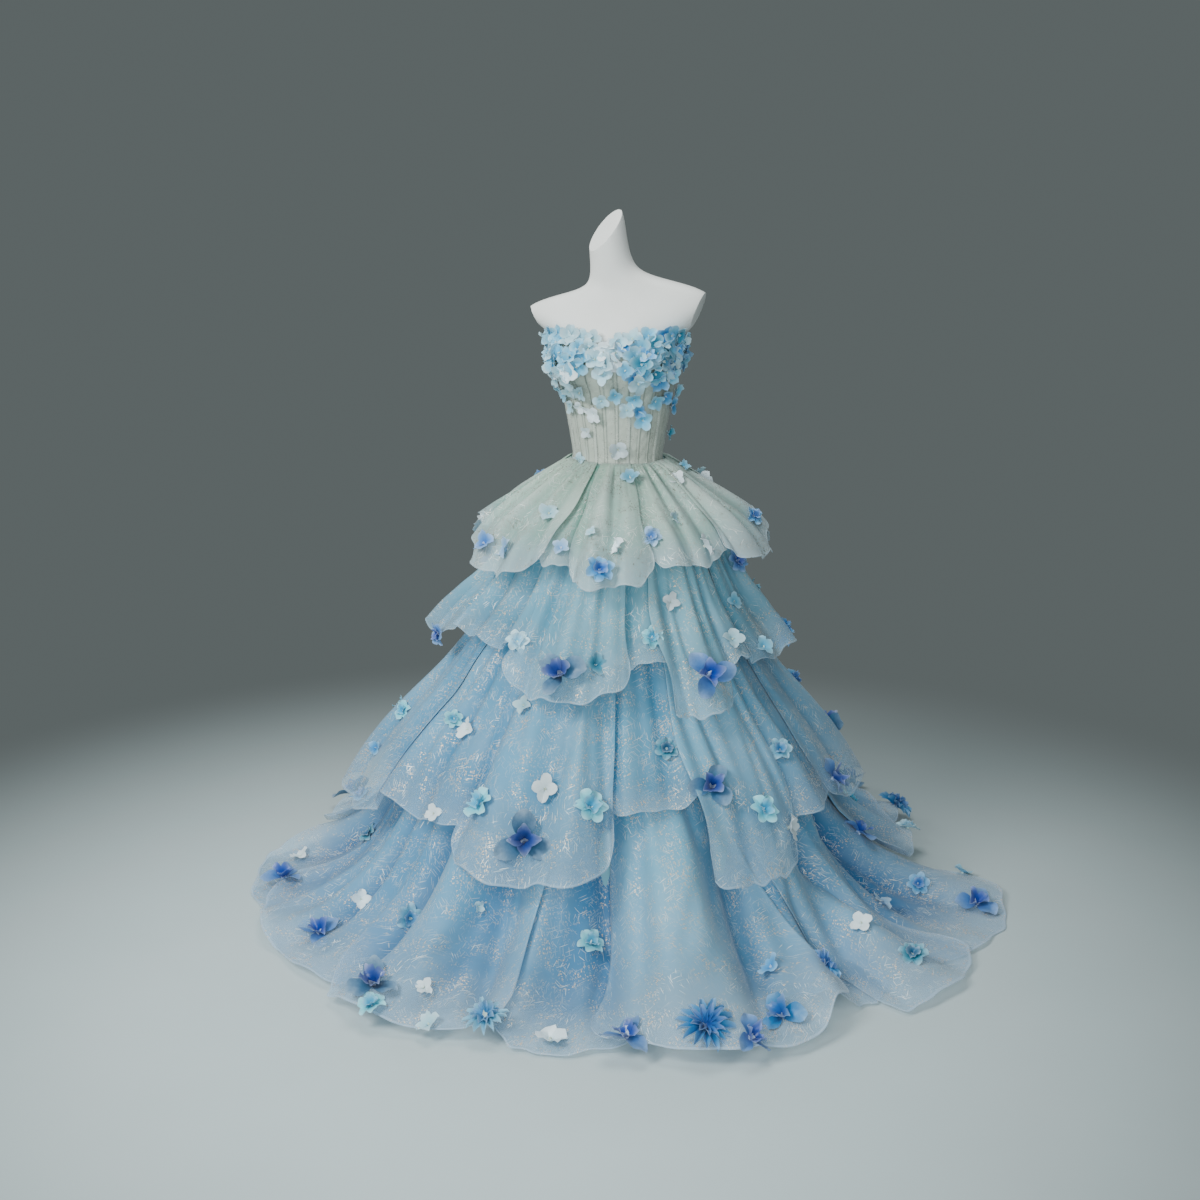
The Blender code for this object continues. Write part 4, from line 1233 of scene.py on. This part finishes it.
class Bouquet:
    """Blossoms gathered into one mesh, which is one piece of the gown."""

    def __init__(self, name):
        self.name = name
        self.points, self.faces, self.tints, self.cloths = [], [], [], []
        self.start = 0

    def add(self, blossom, place, normal, width, hue, toss=0.24):
        """Sew on a blossom, each one tossed, turned, bent and ruffled a little differently."""
        points, faces, rim, part, cloths = blossom
        out = Vector(normal).normalized()
        tilted = (out + Vector(RANDOM.uniform(-toss, toss, 3))).normalized()
        turn = tilted.to_track_quat("Z", "Y").to_matrix() @ Matrix.Rotation(RANDOM.uniform(0, 6.28), 3, "Z")
        grown = points * width * np.array([1.0, RANDOM.uniform(0.88, 1.0), RANDOM.uniform(0.8, 1.25)])
        x, y, _ = grown.T
        twist, fold = RANDOM.uniform(-0.5, 0.5, 2) / width
        grown[:, 2] += twist * x * y + fold * (x**2 - y**2) * 0.5
        spin = np.arctan2(points[:, 1], points[:, 0])
        for size, fewest, most, near in ((0.050, 7, 12, 2), (0.085, 2, 4, 1)):
            ruffle = np.sin(RANDOM.integers(fewest, most) * spin + RANDOM.uniform(0, 6.28))
            grown[:, 2] += size * width * rim**near * ruffle
        self.points.append(grown @ np.array(turn).T + np.array(place) + STITCH_HEIGHT * np.array(out))
        self.faces.extend(tuple(self.start + i for i in face) for face in faces)
        colours = np.array([linear(c) for c in HUES[hue]])[part] * RANDOM.uniform(0.86, 1.10)
        self.tints.append(np.concatenate((colours, rim[:, None]), axis=1))
        self.cloths.extend(cloths)
        self.start += len(points)

    def make(self, materials):
        points = np.concatenate(self.points)
        points[:, 2] = np.maximum(points[:, 2], 0.001)
        tints = np.concatenate(self.tints)
        piece = add_mesh(self.name, points, self.faces, points[:, :2], tints, materials[0])
        for material in materials[1:]:
            piece.data.materials.append(material)
        piece.data.polygons.foreach_set("material_index", np.array(self.cloths, np.int32))
        add_wall(piece, FLOWER_SILK)
        bpy.ops.object.select_all(action="DESELECT")
        piece.select_set(True)
        bpy.context.view_layer.objects.active = piece
        bpy.ops.object.modifier_apply(modifier="wall")
        bpy.ops.object.shade_smooth_by_angle(angle=math.radians(SHARP_PETAL))
        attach(piece, "root")
        return piece


def polar(angle, reach, height):
    a = math.radians(angle)
    return Vector((reach * math.sin(a), -reach * math.cos(a), height))


class Cloth:
    """All the petals together, to find the cloth that lies outermost near a place."""

    def __init__(self, petals):
        points, faces, self.owners = [], [], []
        for solid, _, grid, _ in petals:
            sides = grid_faces(*grid.shape[:2])
            start = len(points)
            points.extend(map(Vector, grid.reshape(-1, 3)))
            faces.extend([start + i for i in side] for side in sides)
            self.owners.extend([solid] * len(sides))
        self.tree = BVHTree.FromPolygons(points, faces)

    def nearest(self, place):
        found, normal, face, _ = self.tree.find_nearest(place)
        outward = Vector((place.x, place.y, 0.0)).normalized() + Vector((0, 0, 1.0))
        if normal.dot(outward) < 0:
            normal = -normal
        above, top, upper, _ = self.tree.ray_cast(found + normal * 0.06, -normal, 0.08)
        if above is not None:
            found, face = above, upper
            normal = top if top.dot(outward) > 0 else -top
        return found, normal, self.owners[face]


def build_skirt_flowers(blossoms, materials, rows, petals):
    """Sew the flowers on; each petal's flowers are one piece, kept under the petal's name."""
    cloth = Cloth(petals)
    bouquets = {}

    def sew(place, kind, width, hue):
        found, normal, owner = cloth.nearest(place)
        bouquet = bouquets.setdefault(owner, Bouquet(owner + "_flowers"))
        bouquet.add(blossoms[kind], found, normal, GROWN * width, hue)

    for flower in rows_of(FLOWERS):
        place = polar(flower["angle"], flower["reach"], flower["height"])
        sew(place, flower["kind"], flower["width"], flower["hue"])
    for number, (row, spread) in enumerate(zip(rows, rows_of(SCATTERED))):
        for k in range(spread["count"]):
            step = (k + 0.5 + 0.35 * math.sin(5.1 * k)) / spread["count"]
            angle = SCATTER_FROM + (SCATTER_TO - SCATTER_FROM) * step
            level = (k * 0.618 + 0.3 * number) % 1.0
            share = spread["start"] + (spread["end"] - spread["start"]) * level
            place, _ = row.surface(np.array(share * row.longest), np.array(angle), np.array(0.03))
            kind, hue = SCATTERED_KINDS[(3 * k + number) % len(SCATTERED_KINDS)]
            if row.name == "peplum" and kind in ("orchid", "daisy"):
                kind = "hydrangea"
            sew(Vector(place), kind, SCATTERED_WIDTHS[kind] * (0.9 + 0.2 * level), hue)
    return {owner: bouquet.make(materials) for owner, bouquet in bouquets.items()}


def bodice_frame(angle, height, out):
    """A place on the bodice's outer face and the direction that leads away from it."""
    top = float(neckline(angle))
    down = (height - top) / (BODICE_FOOT - top)

    def at(turn, depth):
        return bodice_points(np.array(turn), np.array(depth), BODICE_CLOTH / 2 + out)

    centre = at(angle, down)
    return centre, np.cross(at(angle + 1.0, down) - centre, centre - at(angle, down + 0.02))


def bust_hue(angle, level, k):
    """White and pale between the cups, deeper towards the gown's left."""
    if -20 < angle < 12:
        return ("white", "pale", "pale")[(k + level) % 3]
    if angle > 12:
        return ("sky", "sky", "teal", "blue", "pale")[(2 * k + level) % 5]
    return ("sky", "pale", "sky", "sky")[(k + level) % 4] if level < 4 else ("pale", "white")[k % 2]


def build_bust_flowers(blossoms, materials):
    """Two dense clusters over the cups, with paler and thinner rows between and beside them."""
    bouquet = Bouquet("bust_flowers")
    for level in range(6):
        for k in range(-9, 10):
            angle = 10.0 * k + 5.0 * (level % 2) + RANDOM.uniform(-2.5, 2.5)
            thin = abs(angle) > 66 or -20 < angle < 12
            if abs(angle) > 92 or (thin and level > 2 + (k % 2)):
                continue
            if level == 5 and (k % 2 or abs(angle) > 70):
                continue
            cluster = math.exp(-((abs(angle + 2) - 34) / 20) ** 2)
            height = float(neckline(angle)) + 0.010 - 0.0195 * level + RANDOM.uniform(-0.005, 0.005)
            place, normal = bodice_frame(angle, height, 0.003 + 0.012 * cluster * RANDOM.random())
            bouquet.add(blossoms["hydrangea"], place, normal, RANDOM.uniform(0.040, 0.054),
                        bust_hue(angle, level, k), 0.42)
    for flower in rows_of(TRAILING):
        place, normal = bodice_frame(flower["angle"], flower["height"], 0.002)
        bouquet.add(blossoms["hydrangea"], place, normal, 1.15 * flower["width"], flower["hue"])
    piece = bouquet.make(materials)
    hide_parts("bust_flower_border")


# ---------------------------------------------------------------- the dress form
def cut_and_soften(point, normal):
    bpy.ops.mesh.select_all(action="SELECT")
    bpy.ops.mesh.bisect(plane_co=point, plane_no=normal, use_fill=True, clear_outer=True)
    bpy.ops.mesh.bevel(offset=CUT_EDGE, segments=3, affect="EDGES", clamp_overlap=True)


def build_form(material):
    """Drawn up from its foot, section by section, then cut flat at the neck and the arms."""
    form = start_piece(bpy.ops.mesh.primitive_circle_add, vertices=FORM_SIDES, radius=1.0,
                       fill_type="NGON", location=(0, 0, 0))
    form.name = "form_shell"
    sections = rows_of(FORM_SECTIONS)
    first = sections[0]
    bpy.ops.transform.resize(value=(first["half_width"], first["half_depth"], 1.0), center_override=(0, 0, 0))
    bpy.ops.transform.translate(value=(first["shift_x"], first["shift_y"], first["z"]))
    turned = 0.0
    for before, after in zip(sections, sections[1:]):
        centre = (after["shift_x"], after["shift_y"], after["z"])
        step = tuple(after[name] - before[name] for name in ("shift_x", "shift_y", "z"))
        grown = tuple(after[name] / before[name] for name in ("half_width", "half_depth"))
        bpy.ops.mesh.extrude_region_move(TRANSFORM_OT_translate={"value": step})
        bpy.ops.transform.resize(value=(*grown, 1.0), center_override=centre)
        turn = math.atan(SHOULDER_TILT * shoulder_lean(after["z"]))
        if abs(turn - turned) > 1e-6:
            bpy.ops.transform.rotate(value=turn - turned, orient_axis="Y", center_override=centre)
        turned = turn
    bpy.ops.mesh.select_all(action="SELECT")
    bpy.ops.mesh.normals_make_consistent(inside=False)
    smooth_over(form, 2)
    bpy.ops.object.mode_set(mode="EDIT")
    cut_and_soften(NECK_CUT_POINT, NECK_CUT_NORMAL)
    px, py, pz = ARM_CUT_POINT
    nx, ny, nz = ARM_CUT_NORMAL
    for side in (1.0, -1.0):
        cut_and_soften((side * px, py, pz + SHOULDER_TILT * side * px),
                       (side * nx, ny, nz + side * SHOULDER_TILT))
    bpy.ops.object.mode_set(mode="OBJECT")
    bpy.ops.object.shade_smooth_by_angle(angle=math.radians(SHARP_CUT))
    give_material(form, material)
    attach(form, "root")
    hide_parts("form_torso")


# ---------------------------------------------------------------- floor, light and camera
def build_stage():
    bpy.ops.object.select_all(action="DESELECT")
    bpy.ops.mesh.primitive_plane_add(size=60.0, location=(0, 0, FLOOR_Z))
    floor = bpy.context.object
    floor.name = "studio_floor"
    give_material(floor, floor_material())
    world = bpy.data.worlds.new("studio")
    world.use_nodes = True
    world.node_tree.nodes["Background"].inputs[0].default_value = (*BACKDROP, 1.0)
    bpy.context.scene.world = world
    for lamp in rows_of(LIGHTS):
        data = bpy.data.lights.new(lamp["name"], "AREA")
        data.size = lamp["size"]
        data.energy = lamp["power"]
        data.color = lamp["colour"]
        aim = Vector(LIGHT_TARGET) - Vector(lamp["place"])
        link_object(lamp["name"], data, lamp["place"], aim.to_track_quat("-Z", "Y").to_euler())


def build_camera():
    data = bpy.data.cameras.new("camera")
    data.sensor_width = SENSOR
    data.lens = SENSOR / 2 / math.tan(math.radians(VIEW_ANGLE / 2))
    data.shift_x = CAMERA_SHIFT
    turn = (math.radians(90.0 - CAMERA_PITCH), 0.0, math.radians(CAMERA_AZIMUTH))
    place = polar(CAMERA_AZIMUTH, CAMERA_DISTANCE, CAMERA_HEIGHT)
    bpy.context.scene.camera = link_object("camera", data, place, turn)


def main():
    build_camera()
    build_stage()
    organza = {
        "peplum": organza_material("ivory_mint_organza", 0.36, 0.90, ((252, 254, 248), (104, 98, 80))),
        "middle": organza_material("pale_blue_organza", 0.32, 0.46),
        "lower": organza_material("sky_blue_organza", 0.30, 0.50),
        "floor": organza_material("lilac_blue_organza", 0.32, 0.50),
    }
    build_form(paint_material("matte_white_shell", (9.0, 3.0), ((236, 235, 231), (247, 246, 243)),
                              (0.12, 0.42), 900.0, 0.06, 0.0005))
    powder_coat = paint_material("white_powder_coat", (30.0, 5.0), ((226, 226, 224), (240, 240, 238)),
                                 (0.2, 0.3), 500.0, 0.2, 0.0003)
    for name in ("stand_pole", "stand_base"):
        give_material(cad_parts[name], powder_coat)
    build_underskirt(Fabric(satin_material(), SATIN, "underskirt_satin", "hung", ["form_shell"]))
    tulle = bodice_material()
    build_bodice(Fabric(tulle, TULLE, "bodice_tulle", "stretched", ["form_shell"]),
                 Fabric(tulle, TAPE, "boning_casing", "stretched", ["bodice_front_centre_cloth"]))
    rows = [Row(spec, SEED_STEP * number) for number, spec in enumerate(rows_of(ROWS))]
    petals = build_petals(rows, {name: Fabric(material, ORGANZA, name + "_organza", "gathered",
                                              ["underskirt_cloth"]) for name, material in organza.items()})
    blossoms = model_blossoms()
    silks = (silk_material("flower_silk_petal", 0.42, 1.0, 0.35),
             silk_material("flower_sheer_petal", 0.36, 0.82, 0.70),
             silk_material("flower_glossy_petal", 0.16, 1.0, 0.30))
    sewn = build_skirt_flowers(blossoms, silks, rows, petals)
    build_bust_flowers(blossoms, silks)
    for solid, sheet, points, fabric in petals:
        declare_sheet(points)


main()
